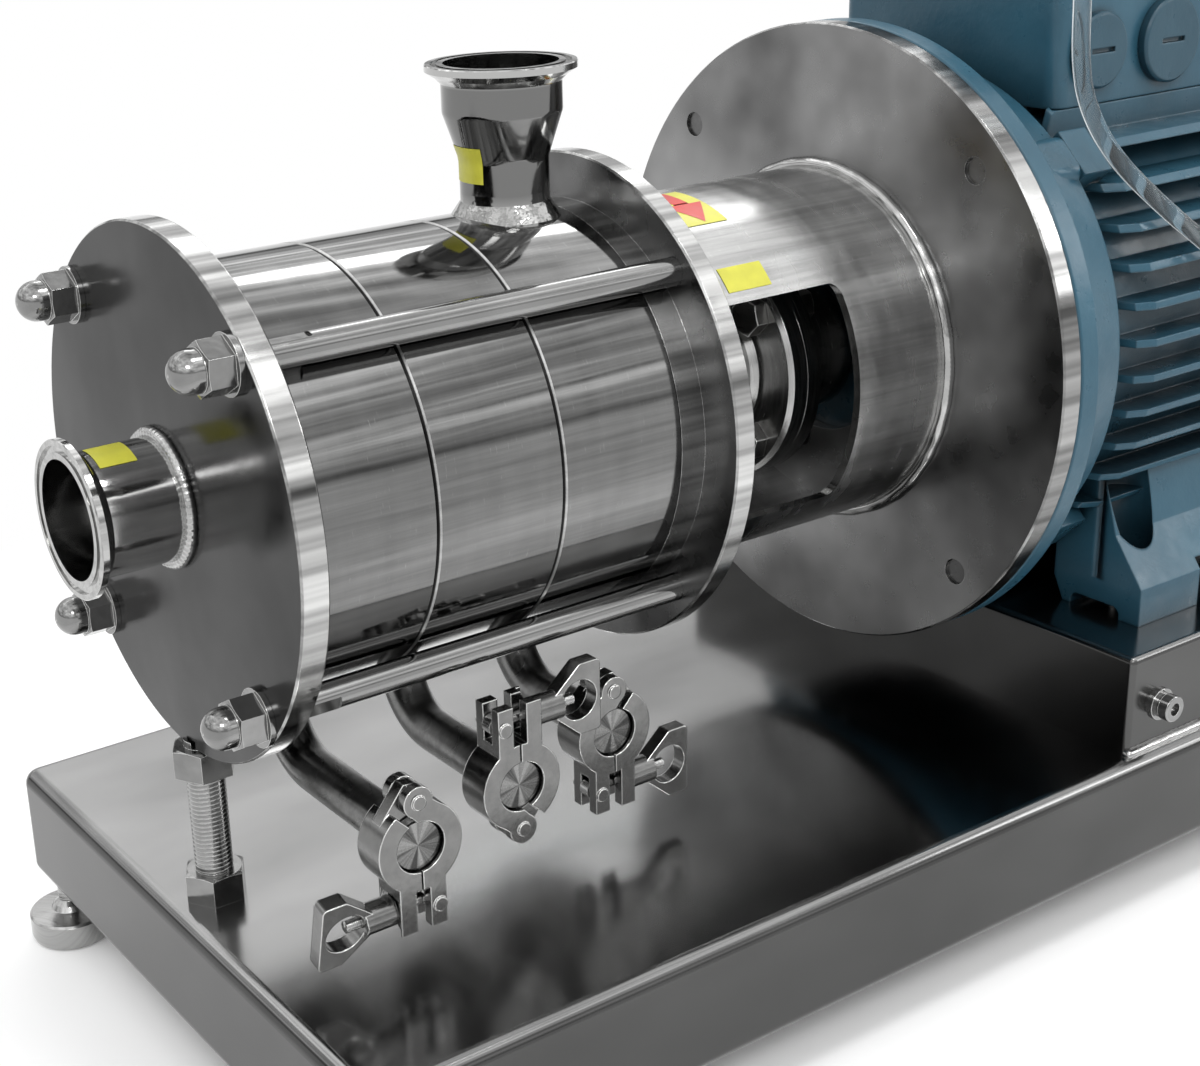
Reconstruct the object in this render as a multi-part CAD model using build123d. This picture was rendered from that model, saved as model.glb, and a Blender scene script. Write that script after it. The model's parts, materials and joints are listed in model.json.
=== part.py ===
"""In-line high shear mixer: three stator and rotor stages on a close-coupled foot and flange motor.

Everything is drawn about the shaft: X runs along the shaft from the front plate's front face
towards the motor, Z is up, and the near side is -Y. save() then sets the machine down on its
feet, with the origin at the bottom centre of the box around it. All sizes are millimetres.
"""
from build123d import *
import os
from math import cos, pi, radians, sin, sqrt, tan

# Fits and small working values
face_gap = 0.05
slip_fit = 0.05
running_fit = 0.05
open_gap = 0.4
edge_break = 0.8
ring_chamfer = 1.3
cut_extra = 2.0

# Process casing
plate_radius = 110.0
front_plate_thickness = 12.0
rear_flange_thickness = 10.0
ring_radius = 90.0
ring_bore_radius = 78.0
ring_length = 59.5
stage_count = 3
boss_length = 12.5
register_radius = 82.0
register_depth = 3.0
flange_seat_depth = 6.0
seal_groove_radius = 86.0
seal_section_radius = 1.4
seal_groove_width = 3.4

# Tie rods and their cap nuts
rod_radius = 6.0
rod_circle_diameter = 197.0
rod_hole_clearance = 0.5
rod_flat_length = 20.0
rod_flat_width = 10.0
rod_flat_turns = (90.0, 90.0, 25.0, 25.0)
cap_nut_across_flats = 19.0
cap_nut_hex_height = 11.0
cap_nut_dome_radius = 8.4
washer_radius = 12.0
washer_thickness = 2.5

# Process connections: 2 inch inlet and outlet with 64 mm clamp ferrules
pipe_radius = 25.4
pipe_wall = 1.2
ferrule_radius = 32.0
ferrule_rim = 2.9
ferrule_cone = 2.6
gasket_groove_radius = 28.2
gasket_groove_width = 2.6
gasket_groove_depth = 1.2
inlet_reach = 41.0
outlet_height = 152.0
outlet_straight = 12.0
outlet_neck_radius = 19.05
outlet_reducer_length = 19.0
outlet_offset = 38.0
outlet_bend_radius = 6.0
outlet_weld_fillet = 5.0

# Stages
stator_eye_radius = 30.0
stator_rows = ((42.0, 48.0), (58.0, 64.0))
rotor_rows = ((34.0, 41.2), (48.8, 57.2))
tooth_length = 18.0
tooth_end_gap = 1.6
rotor_disc_thickness = 7.0
rotor_hub_radius = 22.0
rotor_hub_length = 28.0
rotor_disc_setback = 14.0
slot_counts = (12, 18, 24)
slot_widths = (6.0, 4.0, 2.6)
spacer_radius = 20.0
rotor_nut_across_flats = 30.0
rotor_nut_hex_height = 9.0
rotor_nut_collar = 1.0
rotor_nut_dome_radius = 12.0

# Mixer shaft, key and seal
shaft_radius = 15.0
shaft_thread_radius = 10.0
key_width = 5.0
key_depth = 2.5
seal_chamber_radius = 27.0
seal_seat_radius = 25.0
seal_seat_bore_radius = 17.0
seal_seat_thickness = 6.0
seal_ring_radius = 23.0
seal_ring_thickness = 7.0
bellows_radius = 21.5
bellows_length = 12.0
gland_radius = 46.0
gland_thickness = 14.0
gland_screw_circle = 37.0

# Motor frame size, which the flange, feet, fins, cowl and terminal box follow
frame_radius = 116.0
frame_wall = 10.0
shaft_height = frame_radius + 16.0

# Lantern between the mixer and the motor
lantern_radius = 84.0
lantern_wall = 4.0
lantern_length = 139.0
window_length = 75.0
window_height = 99.0
window_setback = 9.0
window_corner = 6.0
adapter_radius = frame_radius + 34.0
adapter_thickness = 11.0
adapter_bore_radius = 45.0
spigot_radius = frame_radius - 1.0
spigot_depth = 4.0
flange_bolt_circle = 2 * (adapter_radius - 17.5)
flange_bolt_radius = 6.0

# Rigid flanged coupling
coupling_flange_radius = 54.0
coupling_flange_thickness = 10.0
coupling_hub_radius = 31.0
coupling_front_length = 44.0
coupling_rear_length = 50.0
coupling_bolt_circle = 84.0
coupling_bolt_radius = 5.0
coupling_bolt_count = 4
coupling_setback = 37.0

# Foot and flange motor
motor_shaft_radius = 19.0
motor_shaft_reach = 80.0
motor_flange_thickness = 14.0
shield_radius = frame_radius + 20.0
shield_depth = 38.0
shield_wall = 8.0
frame_length = 233.0
fin_radius = frame_radius + 15.0
fin_pitch = 17.0
fin_thickness = 3.6
side_fin_span = 6
rear_shield_thickness = 20.0
foot_hole_setback = 89.0
foot_half_width = frame_radius + 18.0
foot_hole_offset = frame_radius - 8.0
foot_hole_inset = 15.0
foot_hole_pitch = 178.0
foot_pocket_radius = 15.0
foot_floor = 17.0
foot_hole_radius = 6.0
lug_size = 24.0
lug_radius = frame_radius + 16.0
front_bearing = (20.0, 40.0, 18.0)
rear_bearing = (17.5, 36.0, 17.0)
core_length = 180.0
core_radius = frame_radius - 48.0
core_air_gap = 0.6
winding_length = 20.0
fan_radius = frame_radius - 6.0
fan_width = 30.0
fan_blade_count = 8
fan_blade_thickness = 3.0
fan_shaft_radius = 14.0
cowl_radius = frame_radius + 15.0
cowl_wall = 2.0
cowl_length = 149.0
cowl_corner = 18.0
grille_rows = (30.0, 52.0, 74.0, 96.0)
grille_slot_width = 9.0
grille_spokes = 6
terminal_box_length = 130.0
terminal_box_half_width = 70.0
terminal_box_floor = frame_radius - 8.0
terminal_box_height = 78.0
terminal_box_wall = 5.0
terminal_box_setback = 67.0
terminal_lid_thickness = 12.0
terminal_lid_overhang = 2.0
terminal_pad_half_width = 52.0
plug_spacing = 50.0
plug_radii = (17.5, 20.0)
plug_height = 25.0
plug_head = 5.0

# Base, plinth and feet
base_drop = 182.0
base_height = 55.0
base_half_width = 165.0
base_front = 18.0
base_length = 820.0
base_wall = 3.0
base_bend = 7.0
base_corner = 8.0
base_lip = 26.0
stiffener_thickness = 3.0
plinth_front = 405.0
plinth_length = 263.0
plinth_half_width = 157.0
plinth_wall = 4.0
plinth_corner = 3.0
foot_inset_x = 10.0
foot_inset_y = 19.0
foot_pad_radius = 20.0
foot_pad_thickness = 14.0
foot_stem_gap = 18.0
foot_stud_radius = 5.0
foot_stud_reach = 16.0
foot_boss_radius = 9.0
foot_boss_height = 8.0

# Support jack under the front plate
jack_radius = 8.0
jack_across_flats = 24.0
jack_nut_height = 13.0
jack_lower_reach = 14.0

# Drains, one under each stage
drain_radius = 9.5
drain_wall = 1.5
drain_bend = 28.0
drain_level = 124.5
drain_offset = 32.0
drain_reaches = (100.0, 84.0, 69.0)
drain_ferrule_radius = 12.6
drain_rim = 2.9
drain_cone = 1.0
drain_gasket = 1.4
drain_cap_boss_radius = 10.2
drain_cap_boss = 1.2

# Hinged clamps on the drains
clamp_radius = 19.0
clamp_lip_gap = 0.4
clamp_half_width = 8.0
clamp_groove_gap = 0.3
clamp_pin_offset = 19.5
clamp_pin_radius = 2.0
clamp_pin_head_radius = 3.0
clamp_pin_head = 1.0
clamp_cheek_radius = 6.6
clamp_tongue_radius = 6.2
clamp_tongue_half_width = 3.0
clamp_ear_gap = 3.3
clamp_ear_reach = 36.5
clamp_ear_outer = 10.6
clamp_slot_half_width = 3.0
clamp_slot_start = 20.5
bolt_pivot_side = 7.4
bolt_pivot_drop = 27.5
bolt_pivot_radius = 1.5
bolt_eye_radius = 4.2
bolt_radius = 2.5
bolt_length = 34.0
nut_seat_radius = bolt_pivot_side + clamp_ear_outer
nut_seat_gap = 0.4
nut_barrel_radius = 6.3
nut_barrel_length = 14.0
nut_neck = 9.6
nut_neck_half_width = 4.5
nut_wing_start = 23.0
nut_wing_reach = 33.5
nut_wing_half_span = 16.0
nut_wing_half_thickness = 3.5
nut_eye_radius = 8.9
nut_eye_offset = 22.6
clamp_angles = (0.0, 180.0, 0.0)
clamp_nut_sides = (-1.0, -1.0, 1.0)
nut_turns = (14.0, 0.0, 0.0)

# Seal cooling line and its hose
cooling_pipe_radius = 4.0
cooling_nut_across_flats = 13.0
cooling_barb_reach = 112.0
hose_radius = 4.0
hose_end_radius = 6.0
hose_end_length = 22.0

# Stations along the shaft
rings_start = front_plate_thickness
rings_end = rings_start + stage_count * ring_length
rear_flange_start = rings_end + boss_length
rear_flange_end = rear_flange_start + rear_flange_thickness
adapter_start = rear_flange_end + lantern_length
motor_face = adapter_start + adapter_thickness
frame_start = motor_face + motor_flange_thickness + shield_depth
frame_end = frame_start + frame_length
cowl_end = frame_end + rear_shield_thickness + 130.0
cowl_start = cowl_end - cowl_length
foot_start = motor_face + foot_hole_setback - foot_hole_inset
foot_length = foot_hole_pitch + 2 * foot_hole_inset
clamp_lip_radius = drain_radius + drain_cone + clamp_lip_gap
clamp_groove_half_width = drain_gasket / 2 + drain_rim + drain_cone + clamp_groove_gap
clamp_groove_radius = drain_ferrule_radius + clamp_groove_gap
floor_level = -(base_drop + base_height + foot_stem_gap + foot_pad_thickness)
base_end = base_length - base_front
middle = (base_end - foot_inset_x + foot_pad_radius - inlet_reach) / 2
rod_offset = rod_circle_diameter / 2 / sqrt(2)
flange_bolt_offset = flange_bolt_circle / 2 / sqrt(2)
lid_top = terminal_box_floor + terminal_box_height + terminal_lid_thickness
corners = [(1, 1), (-1, 1), (-1, -1), (1, -1)]
along_shaft = (0, 90, 0)
towards_near_side = (90, 0, 0)


def save(name, shape):
    """Sets the shape down on its feet and writes it as one node."""
    placed = Pos(-middle, 0, -floor_level) * shape
    export_step(placed, f"parts/{name}.step")


def group(solids):
    """One node made of separate solids."""
    return Compound(children=[s.solids()[0] if len(s.solids()) == 1 else s for s in solids])


def bar_x(start, end, radius, bore=0.0):
    """Round bar or tube along the shaft's direction, about the shaft."""
    lower = (Align.CENTER, Align.CENTER, Align.MIN)
    bar = Cylinder(radius, end - start, rotation=along_shaft, align=lower)
    if bore:
        bar -= Cylinder(bore, end - start, rotation=along_shaft, align=lower)
    return Pos(start, 0, 0) * bar


def bar_y(start, end, radius):
    """Round bar across the machine, from one y to a lower y."""
    lower = (Align.CENTER, Align.CENTER, Align.MIN)
    return Pos(0, start, 0) * Cylinder(radius, start - end, rotation=towards_near_side, align=lower)


def bar_z(start, end, radius):
    """Upright round bar."""
    return Pos(0, 0, start) * Cylinder(radius, end - start, align=(Align.CENTER, Align.CENTER, Align.MIN))


def block(low, high):
    """Box between two opposite corners."""
    size = [h - l for l, h in zip(low, high)]
    centre = [(h + l) / 2 for l, h in zip(low, high)]
    return Pos(*centre) * Box(*size)


def turned(points):
    """Solid of revolution about the shaft from (x, radius) points."""
    profile = make_face(Polyline(*[(x, r, 0) for x, r in points], close=True))
    return revolve(profile, Axis.X)


def turned_z(points):
    """Solid of revolution about Z from (radius, z) points."""
    profile = make_face(Polyline(*[(r, 0, z) for r, z in points], close=True))
    return revolve(profile, Axis.Z)


def hexagon(across_flats, height, bore, chamfered=True):
    """Hexagon nut standing on z = 0, with its corners chamfered at the top."""
    corner = across_flats / sqrt(3)
    body = extrude(RegularPolygon(across_flats / 2, 6, major_radius=False), height)
    if chamfered:
        drop = (corner - across_flats / 2) * tan(radians(30))
        flat = across_flats / 2 * 0.96
        body &= turned_z([(0, 0), (corner + 1, 0), (corner + 1, height - drop), (flat, height), (0, height)])
    if bore:
        body -= bar_z(-cut_extra, height + cut_extra, bore)
    return body


def stage_start(stage):
    return rings_start + stage * ring_length


def rotor_disc_start(stage):
    return stage_start(stage) + flange_seat_depth + tooth_length + tooth_end_gap


def rotor_hub_start(stage):
    return rotor_disc_start(stage) - rotor_disc_setback


def drain_station(stage):
    return stage_start(stage) + drain_offset


def at_rods(shape):
    return [Pos(0, sy * rod_offset, sz * rod_offset) * shape for sy, sz in corners]


def key_slot(start, end):
    top = shaft_radius + key_depth
    return block((start, -key_width / 2, shaft_radius - key_depth), (end, key_width / 2, top))


# Casing

def front_plate():
    recess = front_plate_thickness - register_depth
    plate = turned([
        (0, pipe_radius - pipe_wall), (0, plate_radius), (front_plate_thickness, plate_radius),
        (front_plate_thickness, register_radius), (recess, register_radius), (recess, stator_eye_radius)])
    rims = plate.edges().filter_by(GeomType.CIRCLE).filter_by(lambda e: abs(e.radius - plate_radius) < 0.01)
    plate = chamfer(rims, edge_break)
    for hole in at_rods(bar_x(-1, front_plate_thickness + 1, rod_radius + rod_hole_clearance)):
        plate -= hole
    return plate


def casing_ring(stage):
    start = stage_start(stage)
    end = start + ring_length
    last = stage == stage_count - 1
    rear_chamfer = edge_break / 2 if last else ring_chamfer
    ring = turned([
        (start, register_radius), (start, ring_radius - ring_chamfer), (start + ring_chamfer, ring_radius),
        (end - rear_chamfer, ring_radius), (end, ring_radius - rear_chamfer), (end, register_radius),
        (end - register_depth, register_radius), (end - register_depth, ring_bore_radius),
        (start + flange_seat_depth, ring_bore_radius), (start + flange_seat_depth, register_radius)])
    ring -= seal_groove(start)
    port = bar_z(-ring_radius - 1, -ring_bore_radius + 5, drain_radius - drain_wall)
    ring -= Pos(drain_station(stage), 0, 0) * port
    if last:
        port = bar_z(ring_bore_radius - 9, ring_radius + 1, outlet_neck_radius - pipe_wall)
        ring -= Pos(start + outlet_offset, 0, 0) * port
        ring -= seal_groove(end, -1)
    return ring


def seal_groove(start, side=1):
    depth = 2 * seal_section_radius + face_gap
    inner = seal_groove_radius - seal_groove_width / 2
    low = min(start, start + side * depth)
    return bar_x(low, low + depth, inner + seal_groove_width, inner)


def gaskets():
    faces = [(stage_start(stage), 1) for stage in range(stage_count)] + [(rings_end, -1)]
    rings = []
    for face, side in faces:
        centre = face + side * (seal_section_radius + face_gap)
        rings.append(Pos(centre, 0, 0) * Torus(seal_groove_radius, seal_section_radius, rotation=along_shaft))
    for stage in range(stage_count):
        face = -drain_reaches[stage]
        disc = bar_y(face - face_gap, face - drain_gasket + face_gap, drain_ferrule_radius - 0.2)
        disc -= bar_y(face + 1, face - drain_gasket - 1, drain_radius - drain_wall)
        rings.append(Pos(drain_station(stage), 0, -drain_level) * disc)
    return group(rings)


def ferrule_profile(outer, wall, rim_radius, rim, cone):
    """Points (distance from the face, radius) round a clamp ferrule's section, tube end open."""
    return [(0, outer - wall), (0, rim_radius - 0.4), (0.4, rim_radius), (rim, rim_radius),
            (rim + cone, outer + cone), (rim + cone + cone, outer)]


def inlet_pipe():
    points = [(-inlet_reach + d, r) for d, r in
              ferrule_profile(pipe_radius, pipe_wall, ferrule_radius, ferrule_rim, ferrule_cone)]
    points += [(0, pipe_radius), (0, pipe_radius - pipe_wall)]
    pipe = turned(points)
    low = gasket_groove_radius - gasket_groove_width / 2
    groove = bar_x(-inlet_reach, -inlet_reach + gasket_groove_depth, low + gasket_groove_width, low)
    return pipe - groove


def outlet_pipe():
    top = outlet_height
    points = [(r, top - d) for d, r in
              ferrule_profile(pipe_radius, pipe_wall, ferrule_radius, ferrule_rim, ferrule_cone)]
    reducer_top = top - 2 * ferrule_cone - ferrule_rim - outlet_straight
    reducer_end = reducer_top - outlet_reducer_length
    low = ring_radius - 8
    outer = [(pipe_radius, reducer_top), (outlet_neck_radius, reducer_end), (outlet_neck_radius, low)]
    bore = [(outlet_neck_radius - pipe_wall, low), (outlet_neck_radius - pipe_wall, reducer_end),
            (pipe_radius - pipe_wall, reducer_top)]
    pipe = turned_z(points + outer + bore)
    outside = (pipe_radius, outlet_neck_radius)
    rims = pipe.edges().filter_by(GeomType.CIRCLE).filter_by_position(Axis.Z, reducer_end, reducer_top)
    bends = rims.filter_by(lambda e: min(abs(e.radius - r) for r in outside) < 0.01)
    pipe = fillet(bends, outlet_bend_radius)
    low_groove = gasket_groove_radius - gasket_groove_width / 2
    groove = bar_z(top - gasket_groove_depth, top, low_groove + gasket_groove_width)
    groove -= bar_z(top - gasket_groove_depth, top, low_groove)
    pipe -= groove
    station = stage_start(stage_count - 1) + outlet_offset
    pipe = Pos(station, 0, 0) * pipe
    skirt = Pos(station, 0, 0) * turned_z([
        (outlet_neck_radius - pipe_wall, low), (outlet_neck_radius + outlet_weld_fillet, low),
        (outlet_neck_radius + outlet_weld_fillet, ring_radius - 2),
        (outlet_neck_radius, ring_radius + outlet_weld_fillet),
        (outlet_neck_radius - pipe_wall, ring_radius + 4)])
    return pipe + skirt - bar_x(rings_start, rear_flange_start, ring_radius)


def rear_cover():
    nose = rings_end - register_depth
    seat_back = rear_flange_start + 5
    cover = turned([
        (nose, seal_chamber_radius), (nose, register_radius - slip_fit),
        (rings_end, register_radius - slip_fit), (rings_end, ring_radius), (rear_flange_start, ring_radius),
        (rear_flange_start, plate_radius - edge_break),
        (rear_flange_start + edge_break, plate_radius), (rear_flange_end - edge_break, plate_radius),
        (rear_flange_end, plate_radius - edge_break), (rear_flange_end, shaft_radius + 3),
        (seat_back, shaft_radius + 3), (seat_back, seal_seat_radius + slip_fit),
        (seat_back - seal_seat_thickness, seal_seat_radius + slip_fit),
        (seat_back - seal_seat_thickness, seal_chamber_radius)])
    for hole in at_rods(bar_x(rear_flange_start - 1, rear_flange_end + 1, rod_radius + slip_fit)):
        cover -= hole
    return cover


def tie_rods():
    """Rods with a pair of spanner flats just behind the front plate."""
    start = -washer_thickness - cap_nut_hex_height - 4
    flat_start = front_plate_thickness + face_gap
    flat_end = flat_start + rod_flat_length
    rods = []
    for (sy, sz), turn in zip(corners, rod_flat_turns):
        rod = bar_x(start, rear_flange_end - 1, rod_radius)
        for side in (1, -1):
            low, high = sorted((side * rod_flat_width / 2, side * (rod_radius + 1)))
            flat = block((flat_start, low, -rod_radius - 1), (flat_end, high, rod_radius + 1))
            rod -= Rot(turn, 0, 0) * flat
        rods.append(Pos(0, sy * rod_offset, sz * rod_offset) * rod)
    return group(rods)


def cap_nuts():
    washer = bar_x(-washer_thickness, 0, washer_radius, rod_radius + rod_hole_clearance)
    dome_height = cap_nut_hex_height + 3
    cap = hexagon(cap_nut_across_flats, cap_nut_hex_height, 0)
    cap += bar_z(cap_nut_hex_height - 1, dome_height, cap_nut_dome_radius)
    cap += Pos(0, 0, dome_height) * Sphere(cap_nut_dome_radius)
    cap -= bar_z(-1, cap_nut_hex_height + 4.5, rod_radius + slip_fit)
    cap = Pos(-washer_thickness, 0, 0) * Rot(0, -90, 0) * cap
    return group(at_rods(washer) + at_rods(cap))


# Stages and shaft

def toothed(body, rows, start, end):
    """Adds the full rings that slots() later parts into teeth."""
    for inner, outer in rows:
        body += bar_x(start, end, outer, inner)
    return body


def slots(start, end, inner, outer, stage):
    """Radial slots, evenly spaced, that part the rings into teeth."""
    count = slot_counts[stage]
    half = slot_widths[stage] / 2
    one = block((start, -half, inner), (end, half, outer))
    return [Rot(360.0 / count * i, 0, 0) * one for i in range(count)]


def stator(stage):
    start = stage_start(stage)
    floor = start + flange_seat_depth
    plate = bar_x(start - register_depth, floor, register_radius - slip_fit, stator_eye_radius)
    plate = toothed(plate, stator_rows, floor - 1, floor + tooth_length)
    inner = stator_rows[0][0] - 1
    outer = stator_rows[-1][1] + 1
    for cut in slots(floor, floor + tooth_length + 1, inner, outer, stage):
        plate -= cut
    return plate


def rotor(stage):
    disc = rotor_disc_start(stage)
    hub = rotor_hub_start(stage)
    bore = shaft_radius + running_fit
    wheel = bar_x(hub, hub + rotor_hub_length, rotor_hub_radius, bore)
    wheel += bar_x(disc, disc + rotor_disc_thickness, stator_rows[-1][1], bore)
    wheel = toothed(wheel, rotor_rows, disc - tooth_length + tooth_end_gap, disc + 1)
    inner = rotor_rows[0][0] - 1
    outer = rotor_rows[-1][1] + 1
    for cut in slots(disc - tooth_length - 1, disc, inner, outer, stage):
        wheel -= cut
    return wheel - key_slot(hub - 1, hub + rotor_hub_length + 1)


def rotor_spacers():
    sleeves = []
    for stage in range(stage_count - 1):
        start = rotor_hub_start(stage) + rotor_hub_length + face_gap
        end = rotor_hub_start(stage + 1) - face_gap
        sleeve = bar_x(start, end, spacer_radius, shaft_radius + running_fit)
        sleeves.append(sleeve - key_slot(start - 1, end + 1))
    return group(sleeves)


def shaft_shoulder():
    return rotor_hub_start(stage_count - 1) + rotor_hub_length + face_gap


def coupling_face():
    return rear_flange_end + coupling_setback + coupling_front_length - coupling_flange_thickness


def mixer_shaft():
    start = rotor_hub_start(0) - rotor_nut_hex_height - 6
    thread_end = rotor_hub_start(0)
    shoulder = shaft_shoulder()
    end = motor_face - motor_shaft_reach - 1
    shaft = turned([
        (start, 0), (start, shaft_thread_radius - 1), (start + 1, shaft_thread_radius),
        (thread_end, shaft_thread_radius), (thread_end, shaft_radius), (shoulder, shaft_radius),
        (shoulder, spacer_radius - 2), (shoulder + 6, spacer_radius - 2), (shoulder + 6, shaft_radius),
        (end, shaft_radius), (end, 0)])
    return shaft - key_slot(thread_end + 2, shoulder - 1)


def keyed_shaft():
    return group([mixer_shaft(), shaft_key()])


def shaft_key():
    length = shaft_shoulder() - rotor_hub_start(0) - 5
    half = key_width / 2 - slip_fit
    key = block((0, -half, -key_depth + slip_fit), (length, half, key_depth - 0.3))
    return Pos(rotor_hub_start(0) + 2.5, 0, shaft_radius) * key


def rotor_nut():
    hub = rotor_hub_start(0)
    nut = hexagon(rotor_nut_across_flats, rotor_nut_hex_height, 0)
    nut += bar_z(rotor_nut_hex_height - 1, rotor_nut_hex_height + rotor_nut_collar, rotor_nut_dome_radius)
    dome = Sphere(rotor_nut_dome_radius) & block((-20, -20, 0), (20, 20, 20))
    nut += Pos(0, 0, rotor_nut_hex_height + rotor_nut_collar) * dome
    nut -= bar_z(-1, rotor_nut_hex_height + 7, shaft_thread_radius + running_fit)
    return Pos(hub - face_gap, 0, 0) * Rot(0, -90, 0) * nut


def seal_seat():
    back = rear_flange_start + 5
    return bar_x(back - seal_seat_thickness, back - face_gap, seal_seat_radius, seal_seat_bore_radius)


def seal_ring():
    end = rear_flange_start + 5 - seal_seat_thickness - face_gap
    return bar_x(end - seal_ring_thickness, end, seal_ring_radius, shaft_radius + running_fit)


def rotating_seal():
    return group([seal_ring(), seal_bellows()])


def seal_bellows():
    end = rear_flange_start + 5 - seal_seat_thickness - 2 * face_gap - seal_ring_thickness
    step = bellows_length / 4
    bore = shaft_radius + running_fit
    points = [(end, bore)]
    for i in range(5):
        radius = bellows_radius if i % 2 == 0 else bellows_radius - 3
        points.append((end - i * step, radius))
    points.append((end - bellows_length, bore))
    return turned(points)


def seal_gland():
    start = rear_flange_end
    gland = bar_x(start, start + gland_thickness, gland_radius, shaft_radius + 3)
    port = bar_y(2, -gland_radius + shaft_radius + 8, 3.0)
    gland -= Pos(start + gland_thickness / 2, gland_radius, 0) * port
    for i in range(4):
        angle = radians(45 + 90 * i)
        hole = Pos(0, gland_screw_circle * cos(angle), gland_screw_circle * sin(angle))
        gland -= hole * bar_x(start - 1, start + gland_thickness + 1, 3.3)
    return gland


def cooling_pipe():
    """Flush line from the seal gland, through the lantern's wall, to a hose barb."""
    pipe = bar_y(cooling_barb_reach, gland_radius + face_gap, cooling_pipe_radius)
    pipe = pipe - bar_y(cooling_barb_reach + 1, gland_radius - 1, cooling_pipe_radius - 1.5)
    nut = Rot(-90, 0, 0) * Rot(0, 0, 30) * hexagon(cooling_nut_across_flats, 7, cooling_pipe_radius - 1.5)
    pipe += Pos(0, lantern_radius + 0.3, 0) * nut
    return Pos(rear_flange_end + gland_thickness / 2, 0, 0) * pipe


# Lantern, adapter and coupling

def lantern():
    tube = bar_x(rear_flange_end, adapter_start, lantern_radius, lantern_radius - lantern_wall)
    opening = Box(window_length, 4 * lantern_radius, window_height)
    opening = fillet(opening.edges().filter_by(Axis.Y), window_corner)
    centre = rear_flange_end + window_setback + window_length / 2
    tube -= Pos(centre, 0, 0) * opening
    port = bar_y(lantern_radius + 1, lantern_radius - lantern_wall - 1, cooling_pipe_radius + slip_fit)
    return tube - Pos(rear_flange_end + gland_thickness / 2, 0, 0) * port


def adapter_disc():
    end = motor_face
    disc = bar_x(adapter_start, end, adapter_radius, adapter_bore_radius)
    disc -= bar_x(end - spigot_depth - 0.3, end + 1, spigot_radius + slip_fit)
    rims = disc.edges().filter_by(GeomType.CIRCLE).filter_by(lambda e: abs(e.radius - adapter_radius) < 0.01)
    disc = chamfer(rims, edge_break)
    for hole in at_flange_bolts(bar_x(adapter_start - 1, end + 1, flange_bolt_radius + slip_fit)):
        disc -= hole
    return disc


def at_flange_bolts(shape):
    return [Pos(0, sy * flange_bolt_offset, sz * flange_bolt_offset) * shape for sy, sz in corners]


def coupling_bolt_places(shape):
    turn = 360.0 / coupling_bolt_count
    return [Rot(turn * (i + 0.5), 0, 0) * Pos(0, 0, coupling_bolt_circle / 2) * shape
            for i in range(coupling_bolt_count)]


def coupling_hub_front():
    face = coupling_face()
    end = face + coupling_flange_thickness
    start = end - coupling_front_length
    shaft_end = motor_face - motor_shaft_reach - 1
    hub = turned([
        (start, shaft_radius + running_fit), (start, coupling_hub_radius), (face - 4, coupling_hub_radius),
        (face, coupling_hub_radius + 1.5), (face, coupling_flange_radius - 2),
        (face + 2, coupling_flange_radius), (end, coupling_flange_radius),
        (end, motor_shaft_radius + running_fit), (shaft_end, motor_shaft_radius + running_fit),
        (shaft_end, shaft_radius + running_fit)])
    for hole in coupling_bolt_places(bar_x(face - 5, end + 1, coupling_bolt_radius + slip_fit)):
        hub -= hole
    return hub


def coupling_hub_rear():
    face = coupling_face() + coupling_flange_thickness + face_gap
    back = face + coupling_flange_thickness
    end = face + coupling_rear_length
    hub = turned([
        (face, motor_shaft_radius + running_fit), (face, coupling_flange_radius),
        (back - 2, coupling_flange_radius), (back, coupling_flange_radius - 2),
        (back, coupling_hub_radius + 1.5), (back + 4, coupling_hub_radius),
        (end, coupling_hub_radius), (end, motor_shaft_radius + running_fit)])
    for hole in coupling_bolt_places(bar_x(face - 1, back + 5, coupling_bolt_radius + slip_fit)):
        hub -= hole
    return hub


def coupling_bolts():
    face = coupling_face()
    back = face + 2 * coupling_flange_thickness + face_gap
    head = Pos(face, 0, 0) * Rot(0, -90, 0) * hexagon(16, 7, 0)
    shank = bar_x(face - 1, back + 11, coupling_bolt_radius)
    nut = Pos(back, 0, 0) * Rot(0, 90, 0) * hexagon(16, 8, coupling_bolt_radius + slip_fit)
    return group(coupling_bolt_places(head + shank) + coupling_bolt_places(nut))


# Motor

def motor_front_shield():
    face = motor_face
    back = face + motor_flange_thickness
    inner, outer, width = front_bearing
    seat = face + 8
    lip = frame_radius - frame_wall - slip_fit
    shield = turned([
        (face - spigot_depth, motor_shaft_radius + 2), (face - spigot_depth, spigot_radius),
        (face, spigot_radius), (face, adapter_radius - 1), (face + 1, adapter_radius),
        (back - 3, adapter_radius), (back, adapter_radius - 3), (back, shield_radius),
        (back + 10, shield_radius - 2), (frame_start, shield_radius - shield_wall), (frame_start, lip),
        (frame_start + 4, lip), (frame_start + 4, lip - 6), (frame_start - 12, lip - 4), (back - 1, lip - 12),
        (back - 1, outer + 9), (seat + width, outer + 8), (seat + width, outer + slip_fit),
        (seat, outer + slip_fit), (seat, motor_shaft_radius + 2)])
    for hole in at_flange_bolts(bar_x(face - 1, back + 1, flange_bolt_radius + 0.5)):
        shield -= hole
    for hole in at_flange_bolts(bar_x(back - 2, back + 10, 13.0)):
        shield -= hole
    half = lug_size / 2
    lug = block((frame_start - 22, -half, frame_radius - 8), (frame_start, half, lug_radius))
    lug = fillet(lug.edges().filter_by(Axis.X).group_by(Axis.Z)[-1], 6)
    for angle in (45, 135, 225, 315):
        shield += Rot(angle, 0, 0) * lug
    return shield


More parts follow.
